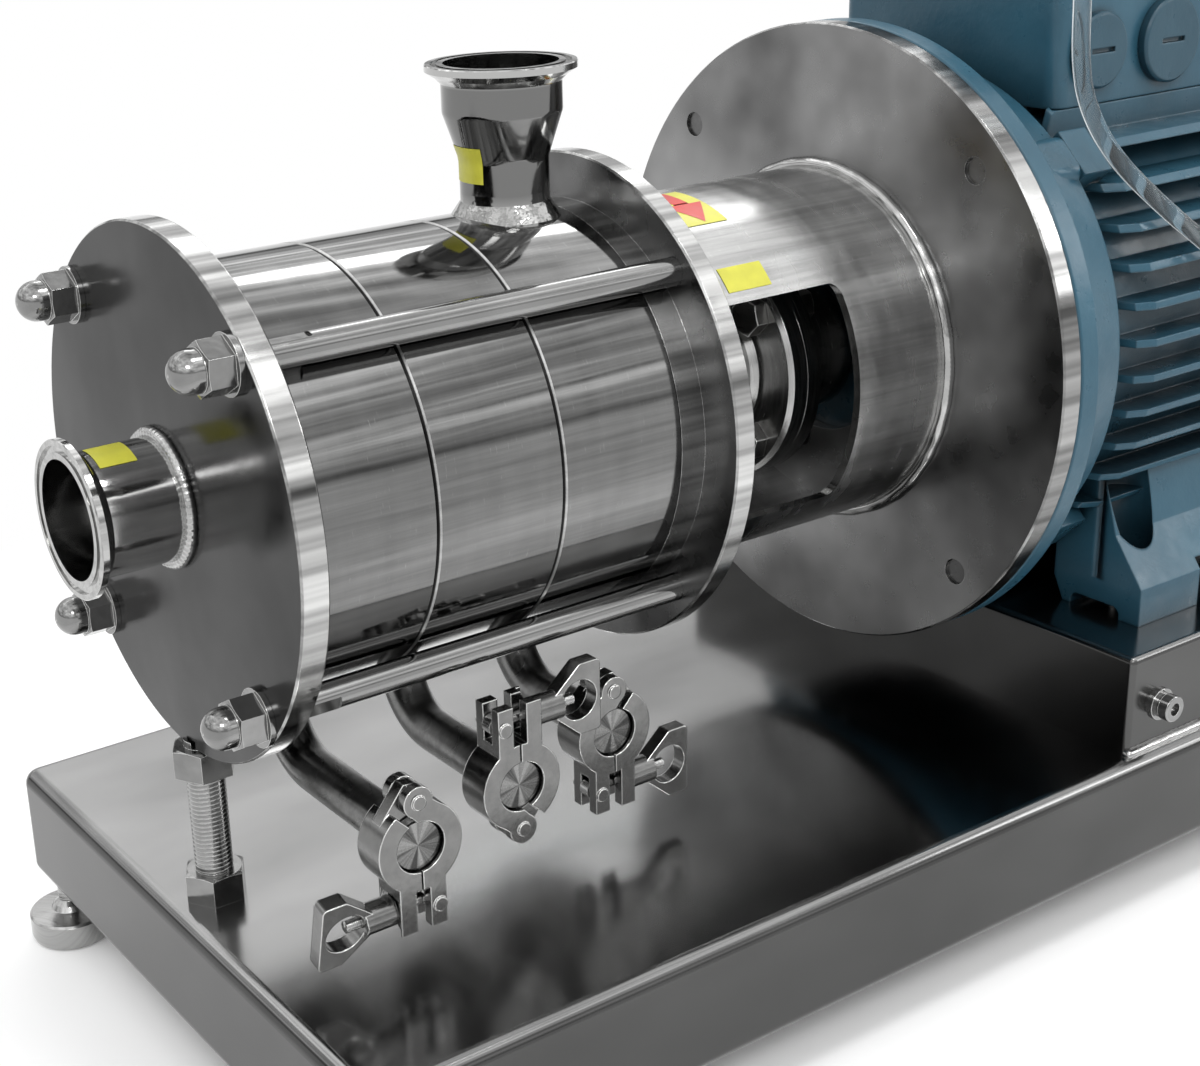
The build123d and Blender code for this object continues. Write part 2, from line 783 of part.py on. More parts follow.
def fins():
    """Side fins lie flat and the upper ones stand up, all cut to a rounded envelope."""
    start = frame_start + 8
    end = frame_end - 4
    envelope = turned([
        (start, 0), (start, frame_radius - 2), (start + 5, fin_radius - 4), (start + 14, fin_radius),
        (end - 6, fin_radius), (end, fin_radius - 3), (end, 0)])
    envelope -= bar_x(start - 1, end + 1, frame_radius - 2)
    plates = []
    half = fin_thickness / 2
    outside = fin_radius + 1
    inside = frame_radius - 26
    for i in range(-side_fin_span + 1, side_fin_span + 1):
        level = fin_pitch * (i - 0.5)
        for side in (1, -1):
            low, high = sorted((side * frame_radius / 2, side * outside))
            plates.append(block((start, low, level - half), (end, high, level + half)))
    for i in range(-4, 5):
        level = fin_pitch * i
        if abs(level) > terminal_pad_half_width + 4:
            plates.append(block((start, level - half, inside), (end, level + half, outside)))
        plates.append(block((start, level - half, -outside), (end, level + half, 2 - inside)))
    return [plate & envelope for plate in plates]


def foot_rail(side):
    """Cast foot along one side of the frame, with pockets for the holding-down bolts."""
    bottom = -shaft_height
    section = [(frame_radius - 28, bottom), (foot_half_width, bottom), (foot_half_width, bottom + 19),
               (frame_radius + 1, bottom + 42), (frame_radius * 0.94, frame_radius * -0.55),
               (frame_radius * 0.79, frame_radius * -0.53), (frame_radius * 0.71, frame_radius * -0.66),
               (frame_radius - 34, bottom + 12)]
    face = make_face(Polyline(*[(foot_start, side * y, z) for y, z in section], close=True))
    rail = extrude(face, foot_length, dir=(1, 0, 0))
    arch_start = foot_hole_offset - foot_pocket_radius
    arch = block((0, arch_start, bottom - 1), (2 * cowl_end, arch_start + 29, bottom + 6))
    arch = fillet(arch.edges().filter_by(Axis.X).group_by(Axis.Z)[-1], 4)
    waist_start = foot_start + 2 * foot_hole_inset + 14
    waist_end = waist_start + foot_length - 4 * foot_hole_inset - 28
    waist = block((waist_start, foot_hole_offset - 12, bottom - 1),
                  (waist_end, foot_half_width + 1, bottom + 24))
    rail -= arch if side > 0 else arch.mirror(Plane.XZ)
    rail -= waist if side > 0 else waist.mirror(Plane.XZ)
    for x in foot_hole_stations():
        rail -= Pos(x, side * foot_hole_offset, 0) * bar_z(bottom - 1, 0, foot_hole_radius)
        rail -= Pos(x, side * foot_hole_offset, 0) * bar_z(bottom + foot_floor, 0, foot_pocket_radius)
    return rail


def foot_hole_stations():
    first = motor_face + foot_hole_setback
    return [first, first + foot_hole_pitch]


def motor_frame():
    frame = bar_x(frame_start, frame_end, frame_radius)
    for fin in fins():
        frame += fin
    for side in (1, -1):
        frame += foot_rail(side)
    box_start = motor_face + terminal_box_setback
    reach = terminal_box_half_width + open_gap
    frame -= block((box_start - open_gap, -reach, terminal_box_floor - open_gap),
                   (box_start + terminal_box_length + open_gap, reach, fin_radius + 1))
    pad_start = frame_start + 16
    pad_end = pad_start + terminal_box_length - 14
    frame += block((pad_start, -terminal_pad_half_width, frame_radius - 26),
                   (pad_end, terminal_pad_half_width, terminal_box_floor))
    frame -= bar_x(frame_start - 1, frame_end + 1, frame_radius - frame_wall)
    lug_start = frame_start + face_gap
    lug = block((lug_start, -lug_size / 2, frame_radius - 4), (frame_start + 18, lug_size / 2, lug_radius))
    for angle in (45, 135, 225, 315):
        frame += Rot(angle, 0, 0) * lug
    opening = terminal_pad_half_width - 14
    frame -= block((pad_start + 20, -opening, frame_radius / 2),
                   (pad_end - 20, opening, terminal_box_floor + 1))
    return frame


def motor_rear_shield():
    start = frame_end + face_gap
    end = frame_end + rear_shield_thickness
    inner, outer, width = rear_bearing
    lip = frame_radius - frame_wall - slip_fit
    shield = turned([
        (start - 4, lip - 8), (start - 4, lip), (start, lip), (start, frame_radius + 4),
        (end - 8, frame_radius + 2), (end, frame_radius - 20), (end, fan_shaft_radius + 2),
        (end - 3, fan_shaft_radius + 2),
        (end - 3, outer + slip_fit), (end - 3 - width, outer + slip_fit), (end - 3 - width, outer + 9),
        (end - 11, outer + 12), (end - 12, lip - 14)])
    for angle in (45, 135, 225, 315):
        lug = block((start, -9, frame_radius - 4), (end - 8, 9, cowl_radius - cowl_wall - open_gap))
        shield += Rot(angle, 0, 0) * lug
    return shield


def rotor_core_start():
    return (frame_start + frame_end) / 2 - core_length / 2


def motor_stator():
    start = rotor_core_start()
    end = start + core_length
    bore = core_radius + core_air_gap
    outer = frame_radius - frame_wall - slip_fit
    core = bar_x(start, end, outer, bore)
    windings = []
    for low in (start - winding_length, end + face_gap):
        ring = bar_x(low, low + winding_length - face_gap, outer - 10, bore + 6)
        windings.append(fillet(ring.edges(), 6))
    return group([core] + windings)


def motor_rotor():
    start = rotor_core_start()
    inner, outer, width = front_bearing
    seat = motor_face + 8
    rear_inner, rear_outer, rear_width = rear_bearing
    rear_seat = frame_end + rear_shield_thickness - 3 - rear_width
    fan_end = frame_end + rear_shield_thickness + 14 + fan_width
    shaft = turned([
        (motor_face - motor_shaft_reach, 0), (motor_face - motor_shaft_reach, motor_shaft_radius - 1),
        (motor_face - motor_shaft_reach + 1, motor_shaft_radius), (seat, motor_shaft_radius), (seat, inner),
        (seat + width, inner), (seat + width, inner + 4), (rear_seat, inner + 4), (rear_seat, rear_inner),
        (rear_seat + rear_width, rear_inner), (rear_seat + rear_width, fan_shaft_radius),
        (fan_end, fan_shaft_radius), (fan_end, 0)])
    core = bar_x(start, start + core_length, core_radius, inner + 4 + slip_fit)
    return group([shaft, core])


def motor_bearings():
    places = [(motor_face + 8, front_bearing),
              (frame_end + rear_shield_thickness - 3 - rear_bearing[2], rear_bearing)]
    rings = []
    for start, (inner, outer, width) in places:
        low = start + face_gap
        high = start + width - face_gap
        radial = (outer - inner) * 0.3
        ring = bar_x(low, high, outer, inner + running_fit)
        for face in (low, high - 1.5):
            ring -= bar_x(face, face + 1.5, outer - radial, inner + radial)
        rings.append(ring)
    return group(rings)


def fan():
    start = frame_end + rear_shield_thickness + 12
    hub = bar_x(start, start + fan_width, 26, fan_shaft_radius + running_fit)
    hub += bar_x(start, start + fan_blade_thickness, fan_radius, fan_shaft_radius + running_fit)
    half = fan_blade_thickness / 2
    blade = block((start + 1, -half, 24), (start + fan_width, half, fan_radius))
    for i in range(fan_blade_count):
        hub += Rot(360.0 / fan_blade_count * i, 0, 0) * blade
    return hub


def fan_cowl():
    outer = turned([(cowl_start, 0), (cowl_start, cowl_radius), (cowl_end, cowl_radius), (cowl_end, 0)])
    rim = outer.edges().filter_by(GeomType.CIRCLE).sort_by(Axis.X)[-1]
    outer = fillet(rim, cowl_corner)
    inner_start = cowl_start - 1
    inner_end = cowl_end - cowl_wall
    inner_radius = cowl_radius - cowl_wall
    inner = turned([(inner_start, 0), (inner_start, inner_radius), (inner_end, inner_radius), (inner_end, 0)])
    inner = fillet(inner.edges().filter_by(GeomType.CIRCLE).sort_by(Axis.X)[-1], cowl_corner - cowl_wall)
    cowl = outer - inner
    for radius in grille_rows:
        cowl -= bar_x(cowl_end - 4, cowl_end + 1, radius + grille_slot_width, radius)
    reach = cowl_radius - cowl_corner - 3
    spoke = block((inner_end, -reach, -3.5), (cowl_end, reach, 3.5))
    for i in range(grille_spokes // 2):
        cowl += Rot(360.0 / grille_spokes * i, 0, 0) * spoke
    return cowl


def terminal_box():
    start = motor_face + terminal_box_setback
    low = (start, -terminal_box_half_width, terminal_box_floor)
    high = (start + terminal_box_length, terminal_box_half_width, terminal_box_floor + terminal_box_height)
    body = block(low, high)
    body = fillet(body.edges().filter_by(Axis.Z), 8)
    wall = terminal_box_wall
    body -= block((low[0] + wall, low[1] + wall, low[2] + wall),
                  (high[0] - wall, high[1] - wall, high[2] + 1))
    for x in plug_stations():
        body -= Pos(x, low[1] + wall + 1, plug_level()) * bar_y(0, -wall - 2, 12)
    opening = terminal_pad_half_width - 14
    body -= block((start + 30, -opening, low[2] - 1), (high[0] - 40, opening, low[2] + wall + 1))
    return body


def plug_stations():
    first = motor_face + terminal_box_setback + 25
    return [first, first + plug_spacing]


def plug_level():
    return terminal_box_floor + plug_height


def terminal_lid():
    start = motor_face + terminal_box_setback - terminal_lid_overhang
    reach = terminal_box_half_width + terminal_lid_overhang
    low = (start, -reach, lid_top - terminal_lid_thickness)
    high = (start + terminal_box_length + 2 * terminal_lid_overhang, reach, lid_top)
    lid = block(low, high)
    lid = fillet(lid.edges().filter_by(Axis.Z), 9)
    return fillet(lid.edges().group_by(Axis.Z)[-1], 3)


def terminal_plugs():
    """Round slotted plugs that blank the two cable entries on the near side."""
    plugs = []
    face = -terminal_box_half_width
    for x, radius in zip(plug_stations(), plug_radii):
        head = bar_y(face, face - plug_head, radius)
        head = chamfer(head.edges().filter_by(GeomType.CIRCLE).group_by(Axis.Y)[0], 1.2)
        head -= block((-8, face - plug_head - 1, -1.1), (8, face - plug_head + 1.8, 1.1))
        head += bar_y(face + terminal_box_wall + 5, face, 12 - slip_fit)
        plugs.append(Pos(x, 0, plug_level()) * head)
    return group(plugs)


def motor_bolts():
    """Flange screws from behind the motor's flange, and the bolts that hold its feet down."""
    back = motor_face + motor_flange_thickness - 2
    screw = bar_x(adapter_start + 1.5, back + 1, flange_bolt_radius)
    screw += Pos(back, 0, 0) * Rot(0, 90, 0) * hexagon(18, 8, 0)
    bolts = at_flange_bolts(screw)
    seat = -shaft_height + foot_floor
    for x in foot_hole_stations():
        for side in (1, -1):
            washer = bar_z(seat, seat + 2, 10.5)
            bolt = washer + Pos(0, 0, seat + 2) * hexagon(17, 7, 0)
            bolt += bar_z(-shaft_height - plinth_wall - 14, seat + 1, 5)
            nut = Pos(0, 0, -shaft_height - plinth_wall - 9) * hexagon(17, 9 - face_gap, 5 + slip_fit)
            place = Pos(x, side * foot_hole_offset, 0)
            bolts += [place * bolt, place * nut]
    return group(bolts)


# Base, plinth, feet and jack

def base_frame():
    low = (-base_front, -base_half_width, -base_drop - base_height)
    high = (base_end, base_half_width, -base_drop)
    shell = block(low, high)
    shell = fillet(shell.edges().filter_by(Axis.Z), base_corner)
    shell = fillet(shell.edges().group_by(Axis.Z)[-1], base_bend)
    shell = fillet(shell.edges().group_by(Axis.Z)[0], base_bend - 2)
    wall = base_wall
    cavity = block([v + wall for v in low], [v - wall for v in high])
    shell -= fillet(cavity.edges().filter_by(Axis.Z), base_corner - wall)
    shell -= block((low[0] + base_lip, low[1] + base_lip, low[2] - 1),
                   (high[0] - base_lip, high[1] - base_lip, low[2] + wall + 1))
    deep = wall - 0.5
    for x in foot_hole_stations():
        shell += block((x, low[1] + deep, low[2] + deep),
                       (x + stiffener_thickness, high[1] - deep, high[2] - deep))
    shell -= Pos(front_plate_thickness / 2, 0, 0) * bar_z(high[2] - 5, high[2] + 1, jack_radius + 0.5)
    top = low[2] + wall + foot_boss_height
    boss = bar_z(low[2] + wall - 0.5, top, foot_boss_radius)
    stud_hole = bar_z(low[2] - 1, top + 1, foot_stud_radius + running_fit)
    for place in foot_places():
        shell += place * boss
        shell -= place * stud_hole
    return shell


def foot_places():
    xs = (-base_front + foot_inset_x, base_end - foot_inset_x)
    ys = (base_half_width - foot_inset_y, -base_half_width + foot_inset_y)
    return [Pos(x, y, 0) for x in xs for y in ys]


def levelling_foot():
    """Pad and stud in one turning, standing under the base's corner."""
    floor = floor_level
    top = floor + foot_pad_thickness
    stud_top = -base_drop - base_height + foot_stud_reach
    return turned_z([
        (0, floor), (foot_pad_radius - 3, floor), (foot_pad_radius - 0.8, floor + 1.2),
        (foot_pad_radius, floor + 3.5),
        (foot_pad_radius, top - 1), (foot_pad_radius - 1, top), (foot_stud_radius + 4, top + 1.5),
        (foot_stud_radius + 2.5, top + 4), (foot_stud_radius, top + 6),
        (foot_stud_radius, stud_top - 1), (foot_stud_radius - 1, stud_top), (0, stud_top)])


def motor_plinth():
    low = (plinth_front, -plinth_half_width, -base_drop)
    high = (plinth_front + plinth_length, plinth_half_width, -shaft_height)
    box = block(low, high)
    box = fillet(box.edges().filter_by(Axis.Z) + box.edges().group_by(Axis.Z)[-1], plinth_corner)
    wall = plinth_wall
    box -= block((low[0] + wall, low[1] + wall, low[2] - 1), (high[0] - wall, high[1] - wall, high[2] - wall))
    for x in foot_hole_stations():
        for side in (1, -1):
            box -= Pos(x, side * foot_hole_offset, 0) * bar_z(-shaft_height - 10, -shaft_height + 1, 5.5)
    return box


def support_jack():
    """Threaded post with two nuts in sight and one under the base's top sheet."""
    top = -plate_radius
    bore = jack_radius + slip_fit
    post = bar_z(-base_drop - jack_lower_reach - base_wall, top + 3, jack_radius)
    nut = hexagon(jack_across_flats, jack_nut_height, bore)
    upper = Pos(0, 0, top - jack_nut_height) * nut
    lower = Pos(0, 0, -base_drop) * nut
    under = Pos(0, 0, -base_drop - base_wall - 8) * hexagon(jack_across_flats, 8, bore)
    place = Pos(front_plate_thickness / 2, 0, 0)
    rim = bar_x(-1, front_plate_thickness + 1, plate_radius)
    return group([place * post - rim, place * upper - rim, place * lower, place * under])


# Drains and clamps

def drain_pipes():
    pipes = []
    for stage in range(stage_count):
        x = drain_station(stage)
        reach = drain_reaches[stage]
        elbow_top = -drain_level + drain_bend
        path = Line((x, 0, -ring_radius + 8), (x, 0, elbow_top))
        path += ThreePointArc((x, 0, elbow_top),
                              (x, -drain_bend * (1 - cos(pi / 4)), elbow_top - drain_bend * sin(pi / 4)),
                              (x, -drain_bend, -drain_level))
        path += Line((x, -drain_bend, -drain_level), (x, -reach + 3, -drain_level))
        start = Plane(origin=(x, 0, -ring_radius + 8), x_dir=(1, 0, 0), z_dir=(0, 0, -1))
        tube = sweep(start * Circle(drain_radius), path)
        tube -= sweep(start * Circle(drain_radius - drain_wall), path)
        points = [(r, d) for d, r in
                  ferrule_profile(drain_radius, drain_wall, drain_ferrule_radius, drain_rim, drain_cone)]
        points += [(drain_radius, 8), (drain_radius - drain_wall, 8)]
        ferrule = Rot(-90, 0, 0) * turned_z(points)
        tube += Pos(x, -reach, -drain_level) * ferrule
        pipes.append(tube - bar_x(rings_start, rings_end, ring_radius))
    return group(pipes)


def drain_caps():
    caps = []
    boss = drain_cap_boss_radius
    rim_end = drain_rim + drain_cone
    for stage in range(stage_count):
        cap = turned_z([
            (0, 0), (drain_ferrule_radius, 0), (drain_ferrule_radius, -drain_rim), (boss, -rim_end),
            (boss, -rim_end - drain_cap_boss), (0, -rim_end - drain_cap_boss)])
        cap = Rot(-90, 0, 0) * cap
        face = -drain_reaches[stage] - drain_gasket
        caps.append(Pos(drain_station(stage), face, -drain_level) * cap)
    return group(caps)


def clamp_place(stage):
    """Moves a clamp drawn about its own axis, nut to -X and ears down, onto its ferrule."""
    turn = Rot(0, clamp_angles[stage], 0)
    if clamp_nut_sides[stage] > 0:
        turn = turn * Rot(0, 0, 180)
    return Pos(drain_station(stage), -drain_reaches[stage] - drain_gasket / 2, -drain_level) * turn


def across(sketch, half_width):
    """Solid as wide each way from the clamp's middle as half_width, from an outline in x and z."""
    return extrude(Plane.XZ * sketch, half_width, both=True)


def outline(*points):
    return make_face(Polyline(*points, close=True))


def clamp_ear(side):
    low, high = sorted((side * clamp_ear_gap, side * clamp_ear_outer))
    return outline((low, -clamp_ear_reach), (high, -clamp_ear_reach), (high, -8), (low, -8))


def clamp_fork_half():
    """Half with the bolt's pivot in its ear and two cheeks that hold the hinge pin."""
    size = clamp_radius + 1
    hinge = clamp_pin_offset
    ring = Circle(clamp_radius) & outline((0.4, -size), (size, -size), (size, size), (0.4, size))
    cheeks = Pos(0, hinge) * Circle(clamp_cheek_radius)
    shoulder = clamp_radius * 0.7
    cheeks += outline((-1.5, hinge + 6.4), (shoulder, shoulder), (10, 6), (0, 10), (-4, hinge - 5))
    body = across(ring + cheeks + clamp_ear(1), clamp_half_width)
    reach = clamp_tongue_half_width + open_gap
    return body - Pos(0, 0, hinge) * bar_y(reach, -reach, clamp_tongue_radius + 1.7)


def clamp_tongue_half():
    """Half that takes the wing nut, with a tongue that turns on the pin between the other's cheeks."""
    size = clamp_radius + 1
    hinge = clamp_pin_offset
    cut = clamp_radius * 0.3
    ring = Circle(clamp_radius) & outline((-0.4, -size), (-size, -size), (-size, size + cut), (-0.4, cut))
    tongue = Pos(0, hinge) * Circle(clamp_tongue_radius)
    tongue += outline((-clamp_radius * 0.78, clamp_radius * 0.63), (-3.4, hinge + 6.6), (0, hinge + 6.1),
                      (0, hinge - 5), (-9, 8))
    tongue += Circle(clamp_radius) & outline((-size, 0), (-0.4, 0), (-0.4, size), (-size, size))
    return across(ring + clamp_ear(-1), clamp_half_width) + across(tongue, clamp_tongue_half_width)


def clamp_half(side):
    """Half of a clamp, drawn about its own axis: side +1 carries the bolt's pivot, -1 the nut's seat."""
    body = clamp_fork_half() if side > 0 else clamp_tongue_half()
    width = clamp_half_width + 1
    pin = Pos(0, 0, clamp_pin_offset)
    pivot = Pos(bolt_pivot_side, 0, -bolt_pivot_drop)
    body -= bar_y(width, -width, clamp_lip_radius)
    body -= bar_y(clamp_groove_half_width, -clamp_groove_half_width, clamp_groove_radius)
    ear_end = clamp_ear_outer + 1
    body -= block((-ear_end, -clamp_slot_half_width, -clamp_ear_reach - 1),
                  (ear_end, clamp_slot_half_width, -clamp_slot_start))
    if side > 0:
        body -= pivot * bar_y(width, -width, bolt_pivot_radius + slip_fit)
        return body - pin * bar_y(width, -width, clamp_pin_radius + slip_fit)
    scoop = nut_barrel_radius + nut_seat_gap
    sweep = block((-ear_end, -scoop, -clamp_ear_reach - 1), (0, scoop, -bolt_pivot_drop + scoop))
    body -= sweep - pivot * bar_y(width, -width, nut_seat_radius)
    return body - pin * bar_y(width, -width, clamp_pin_radius + running_fit)


def headed_pin(radius):
    """Rivet across a clamp with a low round head on each side."""
    end = clamp_half_width + clamp_pin_head
    pin = bar_y(end, -end, radius)
    for face in (end, -clamp_half_width):
        pin += bar_y(face, face - clamp_pin_head, clamp_pin_head_radius)
    return pin


def clamp_seats():
    """The halves that stay on the ferrules, with their hinge pins and bolt rivets."""
    solids = []
    for stage in range(stage_count):
        pin = Pos(0, 0, clamp_pin_offset) * headed_pin(clamp_pin_radius)
        rivet = Pos(bolt_pivot_side, 0, -bolt_pivot_drop) * headed_pin(bolt_pivot_radius)
        solids += [clamp_place(stage) * piece for piece in (clamp_half(1), pin, rivet)]
    return group(solids)


def clamp_jaw(stage):
    return clamp_place(stage) * clamp_half(-1)


def clamp_bolt(stage):
    eye = bar_y(clamp_slot_half_width - 0.4, 0.4 - clamp_slot_half_width, bolt_eye_radius)
    shank = bar_x(-bolt_length, -1, bolt_radius)
    bolt = eye + shank - bar_y(5, -5, bolt_pivot_radius + running_fit)
    return clamp_place(stage) * Pos(bolt_pivot_side, 0, -bolt_pivot_drop) * bolt


def wing_nut(stage):
    """Wing nut with one broad wing that has a round eye through it."""
    span = nut_wing_half_span
    half = [(nut_neck, nut_neck_half_width), (nut_wing_start, span), (nut_wing_reach, span)]
    wing = across(outline(*[(x, -z) for x, z in half], *reversed(half)), nut_wing_half_thickness)
    nut = fillet(wing.edges().filter_by(Axis.Y), 2) + bar_x(0, nut_barrel_length, nut_barrel_radius)
    nut -= Pos(nut_eye_offset, 0, 0) * bar_y(8, -8, nut_eye_radius)
    nut -= bar_x(-1, nut_barrel_length + 4, bolt_radius + running_fit)
    face = nut_seat_radius + face_gap
    turned_round = Pos(-face, 0, 0) * Rot(nut_turns[stage], 0, 180) * nut
    return clamp_place(stage) * Pos(bolt_pivot_side, 0, -bolt_pivot_drop) * turned_round


# Cooling hose

def hose_route():
    """Corners of the hose: low behind the machine, over the terminal box and down past the near fins."""
    port = rear_flange_end + gland_thickness / 2
    barb = cooling_barb_reach
    box = motor_face + terminal_box_setback
    edge = terminal_box_half_width
    over = lid_top + 14
    side = -fin_radius
    tail = base_end - 28
    return [
        (port, barb, 0), (port, barb + 34, 0), (port + 11, barb + 65, -1), (port + 42, barb + 83, -4),
        (port + 86, barb + 87, -6), (port + 134, barb + 81, -3), (port + 180, barb + 71, 5),
        (box + 10, fin_radius + 41, 20), (box + 44, fin_radius + 31, 42), (box + 70, fin_radius + 19, 72),
        (box + 84, edge + 67, lid_top - 90), (box + 90, edge + 54, lid_top - 54),
        (box + 88, edge + 38, lid_top - 20), (box + 78, edge + 12, over + 1), (box + 60, 48, over + 10),
        (box + 38, 10, over + 6),
        (box + 18, -26, over + 5), (box + 2, -56, over + 5), (box - 11, -80, over - 4),
        (box - 20.5, -96, lid_top - 10), (box - 24.5, -101.4, lid_top - 36), (box - 25.5, -103, lid_top - 60),
        (box - 22, -105, lid_top - 81), (box - 10, side + 20, lid_top - 104), (box + 12, side + 10, 71),
        (box + 36, side, 50), (box + 75, side - 11, 20), (box + 118, side - 19, -14),
        (box + 160, side - 23, -52), (box + 202, side - 24, -88), (tail - 102, side - 22, -122),
        (tail - 68, side - 16, -152), (tail - 34, side - 7, -174), (tail, side + 3, -175.6),
    ]


def hose_radii():
    """Largest bend that each corner's shorter run leaves room for."""
    points = [Vector(*p) for p in hose_route()]
    radii = []
    for before, corner, after in zip(points, points[1:], points[2:]):
        first = corner - before
        second = after - corner
        half_turn = radians(first.get_angle(second)) / 2
        radii.append(0.45 * min(first.length, second.length) / tan(half_turn))
    return radii


def cooling_hose():
    radii = hose_radii()
    path = FilletPolyline(*hose_route(), radius=radii)
    start = Plane(origin=path @ 0, z_dir=path % 0)
    tube = sweep(start * Circle(hose_radius), path)
    expected = pi * hose_radius ** 2 * path.length
    print("hose length", round(path.length), "volume share", round(tube.volume / expected, 4))
    print("hose bend radii", [round(radius, 1) for radius in radii])
    return tube


def hose_fittings():
    return group([cooling_pipe(), hose_end()])


def hose_end():
    before, last = [Vector(*p) for p in hose_route()[-2:]]
    place = Plane(origin=last, z_dir=(last - before).normalized())
    end = bar_z(0, 8, hose_end_radius) + bar_z(8, hose_end_length, hose_end_radius - 1.5)
    return place * (end - bar_z(3, hose_end_length + 1, 2.5))


def main():
    os.makedirs("parts", exist_ok=True)
    single = {
        "base_frame": base_frame, "motor_plinth": motor_plinth, "support_jack": support_jack,
        "front_plate": front_plate, "inlet_pipe": inlet_pipe, "outlet_pipe": outlet_pipe,
        "gaskets": gaskets, "rear_cover": rear_cover, "tie_rods": tie_rods, "cap_nuts": cap_nuts,
        "rotor_spacers": rotor_spacers, "rotor_nut": rotor_nut, "mixer_shaft": keyed_shaft,
        "seal_seat": seal_seat, "seal_ring": rotating_seal, "seal_gland": seal_gland,
        "lantern": lantern, "adapter_disc": adapter_disc, "coupling_hub_front": coupling_hub_front,
        "coupling_hub_rear": coupling_hub_rear, "coupling_bolts": coupling_bolts,
        "motor_front_shield": motor_front_shield, "motor_frame": motor_frame,
        "motor_rear_shield": motor_rear_shield, "motor_stator": motor_stator,
        "motor_rotor": motor_rotor, "motor_bearings": motor_bearings, "fan": fan, "fan_cowl": fan_cowl,
        "terminal_box": terminal_box, "terminal_lid": terminal_lid, "terminal_plugs": terminal_plugs,
        "motor_bolts": motor_bolts, "drain_pipes": drain_pipes, "drain_caps": drain_caps,
        "clamp_seats": clamp_seats, "cooling_hose": cooling_hose, "hose_fittings": hose_fittings,
    }
    for name, make in single.items():
        save(name, make())
    staged = {"casing_ring": casing_ring, "stator": stator, "rotor": rotor,
              "clamp_jaw": clamp_jaw, "clamp_bolt": clamp_bolt, "wing_nut": wing_nut}
    for stage in range(stage_count):
        for name, make in staged.items():
            save(f"{name}_{stage + 1}", make(stage))
    for number, place in enumerate(foot_places(), 1):
        save(f"levelling_foot_{number}", place * levelling_foot())


main()
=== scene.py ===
"""Looks of the in-line high shear mixer: finishes, hose, welds, threads, labels, light and camera.

Lengths are metres in the row frame: X along the shaft towards the motor, Z up, floor at zero.
"""
import json
from math import cos, pi, radians, sin, tau

import bpy
from mathutils import Matrix, Vector


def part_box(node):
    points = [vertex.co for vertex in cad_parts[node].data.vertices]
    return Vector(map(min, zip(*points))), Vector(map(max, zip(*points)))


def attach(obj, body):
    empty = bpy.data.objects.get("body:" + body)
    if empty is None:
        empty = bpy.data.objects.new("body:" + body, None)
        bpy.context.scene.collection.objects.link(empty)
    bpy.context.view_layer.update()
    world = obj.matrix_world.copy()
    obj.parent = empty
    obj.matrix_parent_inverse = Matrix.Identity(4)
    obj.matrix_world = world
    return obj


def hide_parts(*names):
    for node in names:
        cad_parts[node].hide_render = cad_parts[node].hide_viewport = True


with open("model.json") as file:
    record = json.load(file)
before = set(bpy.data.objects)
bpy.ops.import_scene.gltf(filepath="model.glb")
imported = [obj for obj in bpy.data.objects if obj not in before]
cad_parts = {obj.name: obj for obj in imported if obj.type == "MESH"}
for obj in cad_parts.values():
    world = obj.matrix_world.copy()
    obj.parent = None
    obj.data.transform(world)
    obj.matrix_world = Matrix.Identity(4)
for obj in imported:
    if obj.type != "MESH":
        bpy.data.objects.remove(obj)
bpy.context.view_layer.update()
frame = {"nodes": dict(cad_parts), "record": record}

# Where things are, read from the frame
plate_low, plate_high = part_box("front_plate")
shaft_level = (plate_low.z + plate_high.z) / 2
plate_face = plate_low.x
ORIGIN = Vector((plate_face, 0, shaft_level))

MM = 0.001

# Camera, solved from the photograph's concentric circles
eye_from_plate = (-299.9, -679.7, 256.4)
look_azimuth = 56.86
look_elevation = -20.71
camera_roll = 2.48
lens_length = 58.8
sensor_width = 36.0
sideways_shift = 0.1083

# The floor keeps the object's shadow up to the first distance and is plain white from the second
shadow_reach = 0.38
white_reach = 0.72

# Sizes of the solids that the small pieces follow, in millimetres from the front plate's face and the axis
stage_spacing = 59.5
drain_place = (44, 0, -124.5)
ring_radius = 90.0
# Insets from the rings' outside that bound the grooves' painted shade and painted highlight
groove_painted_shade_inset = 0.8
groove_painted_highlight_inset = 0.5
inlet_radius = 25.4
lantern_radius = 84.0
adapter_start = 352.0
outlet_station = 169.0
outlet_neck_radius = 19.05
outlet_neck_top = 112.9
outlet_taper = 6.35 / 19.0
outlet_weld_heights = (93, 99)
# Heights between which the outlet's top rim is painted bright as a highlight
outlet_rim_highlight_heights = (143, 146)
jack_station = 6.0
jack_thread_depths = (169.5, 122.5)
foot_thread_depths = (28, 16.5)
clamp_thread_length = 14.0
clamp_thread_overhang = 5.0
earth_screw_place = (427, -160.6)

# Colours, linear
mirror_steel = (0.22, 0.22, 0.218)
pipe_steel = (0.55, 0.55, 0.544)
dark_pipe_steel = (0.19, 0.19, 0.188)
bright_steel = (0.48, 0.48, 0.475)
rod_steel = (0.30, 0.30, 0.297)
# Painted highlight: the bright colour of the turned rims on the front plate and rear cover
rim_highlight_steel = (0.68, 0.68, 0.672)
# Bright edges of castings: partly wear, partly painted highlight
edge_wear_and_highlight_steel = (0.85, 0.85, 0.84)
weld_grey = (0.34, 0.34, 0.335)
plate_steel = (0.026, 0.026, 0.026)
cover_steel = (0.15, 0.15, 0.15)
flange_steel = (0.16, 0.16, 0.16)
tube_steel = (0.52, 0.52, 0.515)
sheet_steel = (0.34, 0.34, 0.338)
